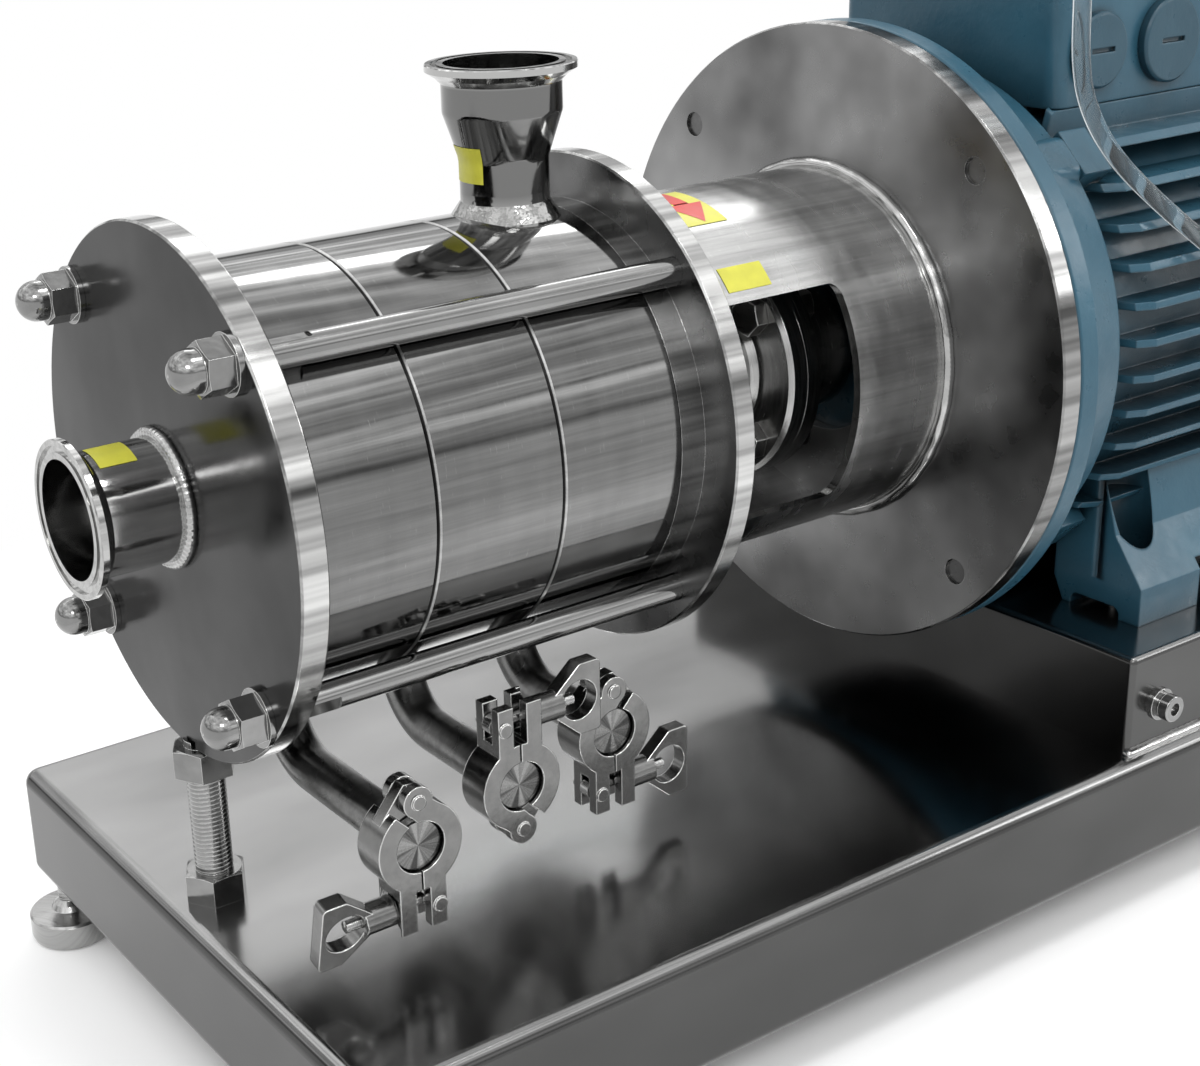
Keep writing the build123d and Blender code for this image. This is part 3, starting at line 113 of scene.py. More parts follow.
# Painted shade: the darker colour of the brushed sheet's upright sides
sheet_side_shade = (0.10, 0.10, 0.099)
cast_steel = (0.22, 0.22, 0.217)
zinc = (0.26, 0.257, 0.248)
motor_blue = (0.016, 0.066, 0.102)
motor_blue_worn = (0.036, 0.105, 0.150)
label_yellow = (0.60, 0.58, 0.06)
arrow_red = (0.55, 0.03, 0.02)
floor_colour = (0.97, 0.97, 0.97)


def at(x, y, z):
    """A point given in millimetres from the centre of the front plate's face."""
    return ORIGIN + Vector((x, y, z)) * MM


# Materials

class Nodes:
    """A node tree with short ways to add noise, ramps and sums to it."""

    def __init__(self, tree, place):
        self.tree = tree
        self.place = tree.nodes.new("ShaderNodeTexCoord").outputs[place]

    def node(self, kind, links=(), **settings):
        made = self.tree.nodes.new(kind)
        for key, value in settings.items():
            setattr(made, key, value)
        for socket, source in dict(links).items():
            if isinstance(source, bpy.types.NodeSocket):
                self.tree.links.new(source, made.inputs[socket])
            else:
                made.inputs[socket].default_value = source
        return made

    def sums(self, operation, *values):
        return self.node("ShaderNodeMath", enumerate(values), operation=operation).outputs[0]

    def stretched(self, factors, centre=(0, 0, 0)):
        moved = self.node("ShaderNodeVectorMath", {0: self.place, 1: centre}, operation="SUBTRACT").outputs[0]
        return self.node("ShaderNodeVectorMath", {0: moved, 1: factors}, operation="MULTIPLY").outputs[0]

    def from_axis(self, axis, centre, repeat=None):
        """Distance along an axis (0 is X, 1 is Y), and the two distances across it.

        Where the same turned piece stands every so far along X, repeat is that distance.
        """
        moved = self.node("ShaderNodeVectorMath", {0: self.place, 1: centre}, operation="SUBTRACT").outputs[0]
        parts = self.node("ShaderNodeSeparateXYZ", {0: moved}).outputs
        first, second = [parts[i] for i in range(3) if i != axis]
        if repeat:
            wrapped = self.sums("FLOORED_MODULO", self.sums("ADD", first, repeat / 2), repeat)
            first = self.sums("SUBTRACT", wrapped, repeat / 2)
        return parts[axis], first, second

    def round_about(self, axis, centre, repeat=None):
        """Direction of a turning line: square to the axis and to the way out from it."""
        along, first, second = self.from_axis(axis, centre, repeat)
        across = [i for i in range(3) if i != axis]
        links = {across[0]: self.sums("MULTIPLY", second, -1), across[1]: first}
        line = self.node("ShaderNodeCombineXYZ", links).outputs[0]
        return self.node("ShaderNodeVectorMath", {0: line}, operation="NORMALIZE").outputs[0]

    def around(self, axis, centre, factors, repeat=None):
        """Coordinates round an axis: along it and out from it, and round it."""
        distance, first, second = self.from_axis(axis, centre, repeat)
        angle = self.sums("ARCTAN2", second, first)
        square = self.sums("ADD", self.sums("MULTIPLY", first, first), self.sums("MULTIPLY", second, second))
        along = self.sums("MULTIPLY", distance, factors[0])
        outwards = self.sums("MULTIPLY", self.sums("SQRT", square), factors[2])
        return self.node("ShaderNodeCombineXYZ", {
            0: self.sums("ADD", along, outwards),
            1: self.sums("MULTIPLY", self.sums("SINE", angle), factors[1]),
            2: self.sums("MULTIPLY", self.sums("COSINE", angle), factors[1])}).outputs[0]

    def noise(self, vector, scale=1.0, detail=3.0, rough=0.55):
        links = {"Vector": vector, "Scale": scale, "Detail": detail, "Roughness": rough}
        return self.node("ShaderNodeTexNoise", links).outputs["Fac"]

    def spread(self, value, low, high, start=0.3, end=0.7):
        links = {"Value": value, "From Min": start, "From Max": end, "To Min": low, "To Max": high}
        return self.node("ShaderNodeMapRange", links).outputs["Result"]

    def colour_between(self, factor, first, second):
        mix = self.node("ShaderNodeMix", data_type="RGBA")
        self.tree.links.new(factor, mix.inputs["Factor"])
        for socket, colour in (("A", first), ("B", second)):
            target = next(s for s in mix.inputs if s.name == socket and s.type == "RGBA")
            if isinstance(colour, bpy.types.NodeSocket):
                self.tree.links.new(colour, target)
            else:
                target.default_value = (*colour, 1)
        return next(s for s in mix.outputs if s.type == "RGBA")

    def along(self, axis):
        """How far the surface faces up an axis, from -1 to 1."""
        normal = self.node("ShaderNodeNewGeometry").outputs["True Normal"]
        return self.node("ShaderNodeSeparateXYZ", {0: normal}).outputs[axis]

    def plain(self, colour):
        return self.node("ShaderNodeCombineXYZ", enumerate(colour)).outputs[0]

    def darkened(self, colour, factor):
        links = {0: colour, 1: factor}
        return self.node("ShaderNodeVectorMath", links, operation="MULTIPLY").outputs[0]


class Finish(Nodes):
    """A node material: one Principled shader, with its colour, roughness and bump built from noise."""

    def __init__(self, name, colour, metallic=0.0, roughness=0.4, edge=0.0):
        self.material = bpy.data.materials.new(name)
        self.material.use_nodes = True
        super().__init__(self.material.node_tree, "Object")
        self.shader = self.tree.nodes["Principled BSDF"]
        self.shader.inputs["Base Color"].default_value = (*colour, 1)
        self.shader.inputs["Metallic"].default_value = metallic
        self.shader.inputs["Roughness"].default_value = roughness
        self.normal = None
        if edge:
            self.normal = self.node("ShaderNodeBevel", {"Radius": edge}, samples=8).outputs[0]

    def set(self, name, source):
        self.tree.links.new(source, self.shader.inputs[name])

    def worn_and_highlit_edges(self):
        """1 along the rounded edges and 0 on the faces between them."""
        flat = self.node("ShaderNodeNewGeometry").outputs["True Normal"]
        turned = self.node("ShaderNodeVectorMath", {0: self.normal, 1: flat}, operation="DOT_PRODUCT")
        return self.spread(turned.outputs["Value"], 1, 0, 0.93, 0.998)

    def facing(self, axis, start=0.6, end=0.95):
        """1 where the surface faces along an axis and 0 where it is square to it."""
        return self.spread(self.sums("ABSOLUTE", self.along(axis)), 0, 1, start, end)

    def bumps(self, *layers):
        """Layers are (height, distance in metres, strength), coarse first."""
        normal = self.normal
        for height, distance, strength in layers:
            links = {"Height": height, "Distance": distance, "Strength": strength}
            if normal is not None:
                links["Normal"] = normal
            normal = self.node("ShaderNodeBump", links).outputs[0]
        self.set("Normal", normal)


def shade(colour, factor):
    return tuple(c * factor for c in colour)


def polished(name, roughness=0.1, colour=bright_steel, edge=0.0, waves=0.25):
    """Mirror-polished steel: slow waves in the surface, faint clouds and hairlines."""
    finish = Finish(name, colour, 1.0, roughness, edge)
    slow = finish.noise(finish.place, 20, 2)
    fine = finish.noise(finish.place, 180, 3)
    hair = finish.noise(finish.stretched((900, 60, 700)), 1, 2)
    finish.set("Roughness", finish.spread(fine, roughness * 0.7, roughness * 1.5))
    finish.set("Base Color", finish.colour_between(finish.spread(slow, 0, 1), shade(colour, 0.8), colour))
    finish.bumps((slow, 0.0012, waves), (hair, 0.00001, 0.15))
    return finish.material


def mirror_tube(name, roughness=0.06, colour=mirror_steel, waves=0.2, smears=0.12, grooves=False):
    """Tube polished to a mirror: marks lie along it, with faint scratches round the axis.

    With grooves, its chamfers are painted dark as the shade in the grooves, and those that face the inlet get
    a painted highlight along their outer corner.
    """
    finish = Finish(name, colour, 1.0, roughness)
    lines = finish.noise(finish.around(0, ORIGIN, (2600, 3, 2600)), 1, 3, 0.7)
    wiping = finish.noise(finish.around(0, ORIGIN, (90, 2.2, 90)), 1, 3, 0.5)
    streaks = finish.noise(finish.stretched((7, 210, 210)), 1, 4, 0.65)
    scratches = finish.noise(finish.around(0, ORIGIN, (1500, 14, 1500)), 1, 3, 0.6)
    slow = finish.noise(finish.stretched((9, 26, 26)), 1, 2)
    tone = finish.sums("MULTIPLY", finish.spread(wiping, 1 - smears, 1), finish.spread(streaks, 0.72, 1.15))
    tone = finish.sums("ADD", tone, finish.spread(scratches, 0, 0.5, 0.66, 0.78))
    gloss = finish.spread(wiping, roughness * 0.75, roughness * 1.4)
    if grooves:
        towards = finish.along(0)
        # Painted shade: chamfers that face the motor are painted nearly black
        tone = finish.sums("MULTIPLY", tone, finish.spread(towards, 1, 0.05, 0.25, 0.4))
        across = dict(enumerate(finish.from_axis(0, ORIGIN)[1:]))
        outwards = finish.node("ShaderNodeCombineXYZ", across).outputs[0]
        out = finish.node("ShaderNodeVectorMath", {0: outwards}, operation="LENGTH").outputs["Value"]
        # Painted shade and painted highlight: chamfers that face the inlet are painted darker inwards and
        # brighter at their outer corner
        groove_shade_to_highlight = finish.spread(out, -0.85, 1.6, (ring_radius - groove_painted_shade_inset) * MM,
                               (ring_radius - groove_painted_highlight_inset) * MM)
        lift = finish.sums("MULTIPLY", groove_shade_to_highlight, finish.spread(towards, 1, 0, -0.4, -0.25))
        tone = finish.sums("MULTIPLY", tone, finish.sums("ADD", lift, 1))
        gloss = finish.sums("MAXIMUM", gloss, finish.spread(towards, 0.3, 0, -0.4, -0.25))
    finish.set("Roughness", gloss)
    finish.set("Base Color", finish.darkened(finish.plain(colour), tone))
    finish.bumps((slow, 0.0012, waves), (lines, 0.000004, 0.5))
    return finish.material


def turned_disc(name, face, rim_highlight, roughness=0.26, edge=0.0005, reflection_bands=0.35):
    """Round plate: satin face with painted reflections in soft clouds, and a rim painted brighter as a
    highlight, banded with painted reflections, with its turning lines.
    """
    finish = Finish(name, face, 1.0, roughness, edge)
    clouds = finish.noise(finish.place, 13, 3, 0.5)
    haze = finish.noise(finish.place, 60, 3)
    lines = finish.noise(finish.around(0, ORIGIN, (3000, 3, 3000)), 1, 3, 0.7)
    flat = finish.facing(0)
    # Painted reflection: soft brighter and darker clouds on the flat face
    cloud = finish.spread(clouds, 0, 1, 0.3, 0.75)
    painted_reflection_clouds = finish.colour_between(cloud, shade(face, 0.45), shade(face, 2.2))
    # Painted highlight and painted reflection: the rim is painted bright, with darker bands round it
    reflection_stripes = finish.noise(finish.around(0, ORIGIN, (0, 8, 0)), 1, 3, 0.6)
    painted_reflection_rim = finish.colour_between(finish.spread(reflection_stripes, 0, 1, 0.4, 0.6), shade(rim_highlight, reflection_bands), rim_highlight)
    finish.set("Base Color", finish.colour_between(flat, painted_reflection_rim, painted_reflection_clouds))
    satin = finish.spread(haze, roughness * 0.8, roughness * 1.25)
    finish.set("Roughness", finish.sums("MULTIPLY", satin, finish.spread(flat, 0.55, 1.0, 0, 1)))
    finish.bumps((clouds, 0.0015, 0.25), (lines, 0.000004, 0.5))
    return finish.material


def turned_finish(name, centre, axis=0, roughness=0.2, colour=bright_steel, repeat=None, anisotropy=0.3):
    """Turned piece: cutting lines run round its axis, and a repeated one gets a painted highlight star of
    lighter and darker sectors.
    """
    finish = Finish(name, colour, 1.0, roughness, 0.0004)
    lines = finish.noise(finish.around(axis, centre, (1400, 2, 1400), repeat), 1, 3, 0.7)
    tones = finish.noise(finish.around(axis, centre, (500, 2, 500), repeat), 1, 3, 0.6)
    finish.shader.inputs["Anisotropic"].default_value = anisotropy
    finish.set("Tangent", finish.round_about(axis, centre, repeat))
    finish.set("Roughness", finish.spread(tones, roughness * 0.75, roughness * 1.4))
    tone = finish.colour_between(finish.spread(tones, 0, 1), shade(colour, 0.75), colour)
    if repeat:
        # Painted highlight: a star of lighter and darker sectors by angle round each piece's axis
        painted_star_sectors = finish.noise(finish.around(axis, centre, (0, 1.7, 0), repeat), 1, 3, 0.6)
        tone = finish.darkened(tone, finish.spread(painted_star_sectors, 0.35, 1.5, 0.4, 0.6))
    finish.set("Base Color", tone)
    finish.bumps((lines, 0.000006, 0.5),)
    return finish.material


def brushed_sheet(name, roughness=0.16, colour=sheet_steel, side=sheet_side_shade):
    """Bent sheet brushed lengthways, with painted shade on its upright sides, cloudy marks and soft dents."""
    finish = Finish(name, colour, 1.0, roughness)
    lines = finish.noise(finish.stretched((14, 1500, 1500)), 1, 3, 0.7)
    clouds = finish.noise(finish.stretched((6, 13, 13)), 1, 3, 0.5)
    waves = finish.noise(finish.place, 6, 2)
    # Painted shade: upright sides take the darker colour, the top the lighter one
    tone = finish.colour_between(finish.facing(2), side, colour)
    finish.set("Roughness", finish.spread(clouds, roughness * 0.75, roughness * 1.3))
    finish.set("Base Color", finish.darkened(tone, finish.spread(clouds, 0.7, 1)))
    finish.bumps((waves, 0.002, 0.25), (lines, 0.00001, 0.4))
    return finish.material


def cast_finish(name, colour=cast_steel, roughness=0.2, edge=0.0009):
    """Investment casting, tumbled smooth: soft unevenness, and edges painted bright, partly as wear and
    partly as a painted highlight.
    """
    finish = Finish(name, colour, 1.0, roughness, edge)
    grain = finish.noise(finish.place, 500, 3, 0.6)
    lumps = finish.noise(finish.place, 110, 2)
    tone = finish.colour_between(finish.spread(lumps, 0, 1), shade(colour, 0.8), colour)
    # Edges painted bright: partly wear, partly painted highlight
    if edge:
        tone = finish.colour_between(finish.worn_and_highlit_edges(), tone, shade(edge_wear_and_highlight_steel, 0.8))
    finish.set("Roughness", finish.spread(grain, roughness * 0.85, roughness * 1.25))
    finish.set("Base Color", tone)
    finish.bumps((lumps, 0.0004, 0.3), (grain, 0.00001, 0.3))
    return finish.material


def welded_outlet(name, colour=dark_pipe_steel):
    """Mirror-polished reducer, lumpy where its neck is welded into the ring, with its top rim painted bright
    as a highlight.
    """
    finish = Finish(name, colour, 1.0, 0.1)
    height = finish.node("ShaderNodeSeparateXYZ", {0: finish.stretched((1, 1, 1), ORIGIN)}).outputs[2]
    weld = finish.spread(height, 1, 0, *(z * MM for z in outlet_weld_heights))
    lumps = finish.noise(finish.place, 170, 2)
    slow = finish.noise(finish.place, 24, 2)
    # Painted highlight: the outlet's top rim is painted bright steel
    rim_highlight = finish.spread(height, 0, 1, *(z * MM for z in outlet_rim_highlight_heights))
    welded = finish.colour_between(weld, colour, weld_grey)
    finish.set("Base Color", finish.colour_between(rim_highlight, welded, bright_steel))
    finish.set("Roughness", finish.spread(lumps, 0.07, 0.14))
    finish.bumps((slow, 0.0012, 0.25), (finish.sums("MULTIPLY", lumps, weld), 0.0012, 0.6))
    return finish.material


def painted(name, colour=motor_blue, worn=motor_blue_worn):
    """Machine enamel over a casting: orange peel, worn patches, and painted shade in corners and between the
    fins.
    """
    finish = Finish(name, colour, 0.0, 0.32, 0.0015)
    finish.shader.inputs["Coat Weight"].default_value = 0.12
    finish.shader.inputs["Coat Roughness"].default_value = 0.14
    finish.shader.inputs["Specular IOR Level"].default_value = 0.35
    peel = finish.noise(finish.place, 420, 2)
    casting = finish.noise(finish.place, 60, 4, 0.6)
    patches = finish.noise(finish.place, 14, 4, 0.65)
    enamel = finish.colour_between(finish.spread(patches, 0, 0.8, 0.35, 0.75), colour, worn)
    # Painted shade: darker where ambient occlusion finds surfaces close by, as between the fins
    occlusion_shade = finish.node("ShaderNodeAmbientOcclusion", {"Distance": 0.035}, samples=6).outputs["AO"]
    finish.set("Base Color", finish.darkened(enamel, finish.spread(occlusion_shade, 0.25, 1, 0.15, 0.8)))
    finish.set("Roughness", finish.spread(casting, 0.24, 0.46))
    finish.bumps((casting, 0.0009, 0.5), (peel, 0.00018, 0.45))
    return finish.material


def rubber(name, colour, roughness=0.6):
    """Dull rubber, plastic or ceramic with a fine grain."""
    finish = Finish(name, colour, 0.0, roughness)
    grain = finish.noise(finish.place, 1100, 3)
    patches = finish.noise(finish.place, 70, 3)
    finish.set("Base Color", finish.colour_between(finish.spread(patches, 0, 1), shade(colour, 0.82), colour))
    finish.set("Roughness", finish.spread(grain, roughness * 0.8, roughness * 1.2))
    finish.bumps((grain, 0.00005, 0.3),)
    return finish.material


def clear_plastic(name):
    """Clear flexible tube: see-through with brighter streaks where it was drawn."""
    finish = Finish(name, (0.90, 0.94, 0.95), 0.0, 0.06)
    finish.shader.inputs["Transmission Weight"].default_value = 0.96
    finish.shader.inputs["IOR"].default_value = 1.22
    milk = finish.noise(finish.place, 50, 3)
    drawn = finish.noise(finish.place, 700, 2)
    milky = finish.colour_between(finish.spread(milk, 0, 1), (0.78, 0.84, 0.86), (0.93, 0.96, 0.97))
    finish.set("Base Color", milky)
    finish.set("Roughness", finish.spread(drawn, 0.03, 0.1))
    finish.bumps((drawn, 0.00006, 0.3),)
    return finish.material


def windings(name):
    """Varnished copper wire ends on a dark laminated core."""
    finish = Finish(name, (0.35, 0.14, 0.05), 0.4, 0.35)
    wires = finish.noise(finish.around(0, ORIGIN, (900, 3, 900)), 1, 2)
    copper = finish.colour_between(finish.spread(wires, 0, 1), (0.12, 0.05, 0.03), (0.46, 0.19, 0.07))
    finish.set("Base Color", copper)
    finish.set("Roughness", finish.spread(wires, 0.25, 0.5))
    finish.bumps((wires, 0.0006, 0.6),)
    return finish.material


def sticker(name, colour):
    """Glossy printed film with faint fading and a soft ripple where it was pressed on."""
    finish = Finish(name, colour, 0.0, 0.35)
    fading = finish.noise(finish.place, 90, 3)
    ripple = finish.noise(finish.place, 45, 2)
    finish.set("Base Color", finish.colour_between(finish.spread(fading, 0, 1), shade(colour, 0.82), colour))
    finish.set("Roughness", finish.spread(fading, 0.28, 0.45))
    finish.bumps((ripple, 0.0003, 0.3),)
    return finish.material


def stage_material(name, colour):
    """White paper that keeps the object's shadow, and further off is plain white."""
    finish = Finish(name, colour, 0.0, 0.9)
    cloud = finish.noise(finish.place, 1.2, 2)
    finish.set("Base Color", finish.colour_between(finish.spread(cloud, 0, 1), shade(colour, 0.985), colour))
    distance = finish.node("ShaderNodeVectorMath", {0: finish.place}, operation="LENGTH").outputs["Value"]
    path = finish.node("ShaderNodeLightPath").outputs
    mirrored = finish.sums("MAXIMUM", path["Is Glossy Ray"], path["Is Transmission Ray"])
    seen = finish.sums("MAXIMUM", path["Is Camera Ray"], mirrored)
    white = finish.node("ShaderNodeEmission", {"Color": (1, 1, 1, 1), "Strength": 1.0}).outputs[0]
    share = finish.sums("MULTIPLY", seen, finish.spread(distance, 0, 1, shadow_reach, white_reach))
    mixed = finish.node("ShaderNodeMixShader", {0: share, 1: finish.shader.outputs[0], 2: white}).outputs[0]
    finish.tree.links.new(mixed, finish.tree.nodes["Material Output"].inputs["Surface"])
    return finish.material


finishes = {
    "polished_stainless": polished("polished_stainless"),
    "machined_stainless": turned_finish("machined_stainless", ORIGIN, 0, 0.2, bright_steel),
    "brushed_tube": mirror_tube("brushed_tube", 0.22, tube_steel, 0.12, 0.12),
    "brushed_sheet": brushed_sheet("brushed_sheet"),
    "cast_stainless": cast_finish("cast_stainless"),
    "plated_bolts": cast_finish("plated_bolts", zinc, 0.3),
    "turned_steel": turned_finish("turned_steel", ORIGIN, 0, 0.3, zinc),
    "bearing_steel": polished("bearing_steel", 0.12),
    "winding_core": windings("winding_core"),
    "motor_paint": painted("motor_paint"),
    "gasket_rubber": rubber("gasket_rubber", (0.045, 0.045, 0.045)),
    "seal_bellows": rubber("seal_bellows", (0.035, 0.035, 0.035)),
    "seal_ceramic": rubber("seal_ceramic", (0.06, 0.06, 0.065), 0.3),
    "fan_plastic": rubber("fan_plastic", (0.03, 0.03, 0.03), 0.45),
    "plug_plastic": painted("plug_plastic", shade(motor_blue, 0.7), shade(motor_blue_worn, 0.7)),
    "clear_hose": clear_plastic("clear_hose"),
}
weld_steel = cast_finish("weld_steel", bright_steel, 0.14, 0)
smooth_small = cast_finish("smooth_small", rod_steel, 0.14, 0.0003)
mirror_rings = mirror_tube("mirror_rings", grooves=True)

# Nodes whose surface differs from the rest of their slot
own_finishes = {
    "front_plate": turned_disc("front_plate_satin", plate_steel, rim_highlight_steel, 0.17),
    "rear_cover": turned_disc("rear_cover_satin", cover_steel, rim_highlight_steel, 0.26, 0.0003),
    "adapter_disc": turned_disc("adapter_satin", flange_steel, bright_steel, 0.3, reflection_bands=0.2),
    "casing_ring_1": mirror_rings, "casing_ring_2": mirror_rings, "casing_ring_3": mirror_rings,
    "inlet_pipe": mirror_tube("inlet_mirror", 0.1, pipe_steel, 0.35),
    "outlet_pipe": welded_outlet("outlet_mirror"),
    "tie_rods": polished("rod_polish", 0.12, rod_steel, 0.0003, 0.05),
    # Painted shade: the motor's screws are painted dark to stand in for the shade of the flange's screw
    # holes; its foot and lid screws share it
    "motor_bolts": cast_finish("screws_in_painted_hole_shade", flange_steel, 0.3, 0.0004),
    "cap_nuts": smooth_small, "support_jack": smooth_small,
    "drain_pipes": mirror_tube("drain_satin", 0.28, cast_steel, 0.05, 0.08),
    "drain_caps": turned_finish("drain_cap_facing", at(*drain_place), 1, 0.25, cast_steel,
                                stage_spacing * MM, 0.85),
}


def dress_frame():
    """Gives every shown CAD node its own finish, or that of its slot in the record."""
    for part in frame["record"]["subparts"]:
        node = frame["nodes"][part["node"]]
        finish = own_finishes.get(part["node"], finishes[part["material_slot"]])
        if not node.data.materials:
            node.data.materials.append(finish)
        for slot in node.material_slots:
            slot.material = finish
        for polygon in node.data.polygons:
            polygon.material_index = 0


# Small pieces

def piece(name, vertices, faces, material, body="machine", smooth=True):
    mesh = bpy.data.meshes.new(name)
    mesh.from_pydata([tuple(v) for v in vertices], [], faces)
    mesh.materials.append(material)
    for polygon in mesh.polygons:
        polygon.use_smooth = smooth
    made = bpy.data.objects.new(name, mesh)
    bpy.context.scene.collection.objects.link(made)
    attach(made, body)
    return made


def grid_faces(rows, columns, closed_rows=False, closed_columns=False):
    faces = []
    for i in range(rows if closed_rows else rows - 1):
        for j in range(columns if closed_columns else columns - 1):
            a, b = i, (i + 1) % rows
            c, d = j, (j + 1) % columns
            faces.append((a * columns + c, a * columns + d, b * columns + d, b * columns + c))
    return faces


def weld_along(name, path, width, body="machine", ripple=0.0016, closed=False):
    """Bead with overlapping ripples along a path of points."""
    count = len(path)
    sides = 10
    vertices = []
    travelled = 0.0
    for i, point in enumerate(path):
        ahead = path[(i + 1) % count] if closed or i + 1 < count else point
        behind = path[i - 1] if closed or i else point
        along = (ahead - behind).normalized()
        side = along.cross(Vector((0.3, 0.2, 0.93))).normalized()
        up = side.cross(along)
        swell = 1 + 0.13 * abs(sin(pi * travelled / ripple)) + 0.05 * sin(travelled * 410)
        for j in range(sides):
            angle = tau * j / sides
            vertices.append(point + (side * cos(angle) + up * sin(angle)) * width * swell)
        travelled += (ahead - point).length
    faces = grid_faces(count, sides, closed, True)
    if not closed:
        faces += [tuple(range(sides))[::-1], tuple(range((count - 1) * sides, count * sides))]
    return piece(name, vertices, faces, weld_steel, body)


def ring_path(x, radius, steps=240):
    """Points round a circle about the shaft, given in millimetres."""
    angles = [tau * i / steps for i in range(steps)]
    return [at(x, 0, 0) + Vector((0, cos(angle), sin(angle))) * (radius * MM) for angle in angles]


def thread(name, start, end, radius, pitch, body="machine", slot="machined_stainless"):
    """Screw thread standing on a bar from start to end."""
    along = end - start
    length = along.length
    turn = along.to_track_quat("Z", "Y").to_matrix()
    sides = 28
    per_pitch = 6
    depth = pitch * 0.5
    rows = int(length / pitch * per_pitch)
    vertices = []
    for i in range(rows + 1):
        height = length * i / rows
        fade = min(1.0, height / pitch, (length - height) / pitch)
        for j in range(sides):
            phase = (height / pitch - j / sides) % 1.0
            crest = 1 - abs(2 * phase - 1)
            r = radius + depth * (crest - 0.5) * fade * 0.6
            angle = tau * j / sides
            vertices.append(start + turn @ Vector((r * cos(angle), r * sin(angle), height)))
    faces = grid_faces(rows + 1, sides, False, True)
    last = len(vertices) - sides
    faces.append(tuple(range(last, last + sides)))
    return piece(name, vertices, faces, finishes[slot], body)


def label(name, point, u_steps, v_steps, material, body="machine"):
    """Thin film over a curved wall: point(u, v, lift) gives the place for u and v from 0 to 1."""
    lift = 0.00022
    vertices = []
    for i in range(u_steps + 1):
        for j in range(v_steps + 1):
            vertices.append(point(i / u_steps, j / v_steps, lift))
    return piece(name, vertices, grid_faces(u_steps + 1, v_steps + 1), material, body)


def on_shaft_cylinder(x_range, angle_range, radius):
    """Places on a cylinder about the shaft. Angles run from the near side up over the top."""
    def place(u, v, lift):
        x = x_range[0] + (x_range[1] - x_range[0]) * u
        angle = radians(angle_range[0] + (angle_range[1] - angle_range[0]) * v)
        r = radius + lift / MM
        return at(x, -r * cos(angle), r * sin(angle))
    return place


def on_outlet(angle_range, z_range):
    """Places on the outlet's neck and the cone above it."""
    def place(u, v, lift):
        z = z_range[0] + (z_range[1] - z_range[0]) * v
        cone = max(0.0, z - outlet_neck_top) * outlet_taper
        r = outlet_neck_radius + cone + lift / MM
        angle = radians(angle_range[0] + (angle_range[1] - angle_range[0]) * u)
        return at(outlet_station + r * cos(angle), r * sin(angle), z)
    return place


def welds():
    weld_along("weld_inlet", ring_path(-1.4, inlet_radius + 0.9), 2.6 * MM, ripple=0.0026, closed=True)
    lantern_ring = ring_path(adapter_start - 1.6, lantern_radius + 0.8, steps=480)
    weld_along("weld_lantern", lantern_ring, 3.0 * MM, ripple=0.0022, closed=True)
    plinth_low, plinth_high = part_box("motor_plinth")
    near = plinth_low.y - 0.4 * MM
    front = plinth_low.x - 0.4 * MM
    level = plinth_low.z + 0.8 * MM
    steps = 160
    for side, name in ((1, "near"), (-1, "far")):
        places = [front + (plinth_high.x - front) * i / steps for i in range(steps + 1)]
        line = [Vector((x, side * near, level)) for x in places]
        weld_along("weld_plinth_" + name, line, 2.2 * MM, ripple=0.004)


def threads():
    x = plate_face + jack_station * MM
    start, end = (Vector((x, 0, shaft_level - depth * MM)) for depth in jack_thread_depths)
    thread("thread_jack", start, end, 8.0 * MM, 2.0 * MM)
    for k in range(1, 5):
        low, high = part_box(f"levelling_foot_{k}")
        centre = (low + high) / 2
        start, end = (Vector((centre.x, centre.y, high.z - depth * MM)) for depth in foot_thread_depths)
        thread(f"thread_foot_{k}", start, end, 5.0 * MM, 1.5 * MM, f"levelling_foot_{k}")
    for k, side in ((1, -1), (2, 1), (3, 1)):
        low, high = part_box(f"clamp_bolt_{k}")
        middle = (low + high) / 2
        tip = low.x if side < 0 else high.x
        start = Vector((tip - side * clamp_thread_length * MM, middle.y, middle.z))
        end = Vector((tip + side * clamp_thread_overhang * MM, middle.y, middle.z))
        thread(f"thread_clamp_{k}", start, end, 2.5 * MM, 0.8 * MM, f"clamp_bolt_{k}")


def labels():
    yellow = sticker("label_yellow", label_yellow)
    red = sticker("arrow_red", arrow_red)
    label("label_inlet", on_shaft_cylinder((-30.5, -15), (60, 98), inlet_radius), 4, 10, yellow)
    label("label_cooling", on_shaft_cylinder((237.5, 261.5), (39.7, 48), lantern_radius), 4, 6, yellow)
    label("label_outlet", on_outlet((208, 152), (104, 119)), 10, 6, yellow)
    place = on_shaft_cylinder((240, 263), (66, 91), lantern_radius)
    label("label_rotation", place, 4, 12, yellow)
    arrow_on(place, red)


def arrow_on(place, material):
    """Plain arrow that shows which way the shaft turns."""
    shaft_half, head_half, neck, tip = 0.17, 0.46, 0.50, 0.04
    rows = [(0.98 - (0.98 - neck) * i / 8, shaft_half) for i in range(9)]
    rows += [(neck - (neck - tip) * i / 8, head_half * (1 - i / 8)) for i in range(9)]
    vertices = [place(0.5 + side * half, v, 0.00034) for v, half in rows for side in (-1, 1)]
    piece("arrow_rotation", vertices, grid_faces(len(rows), 2), material)


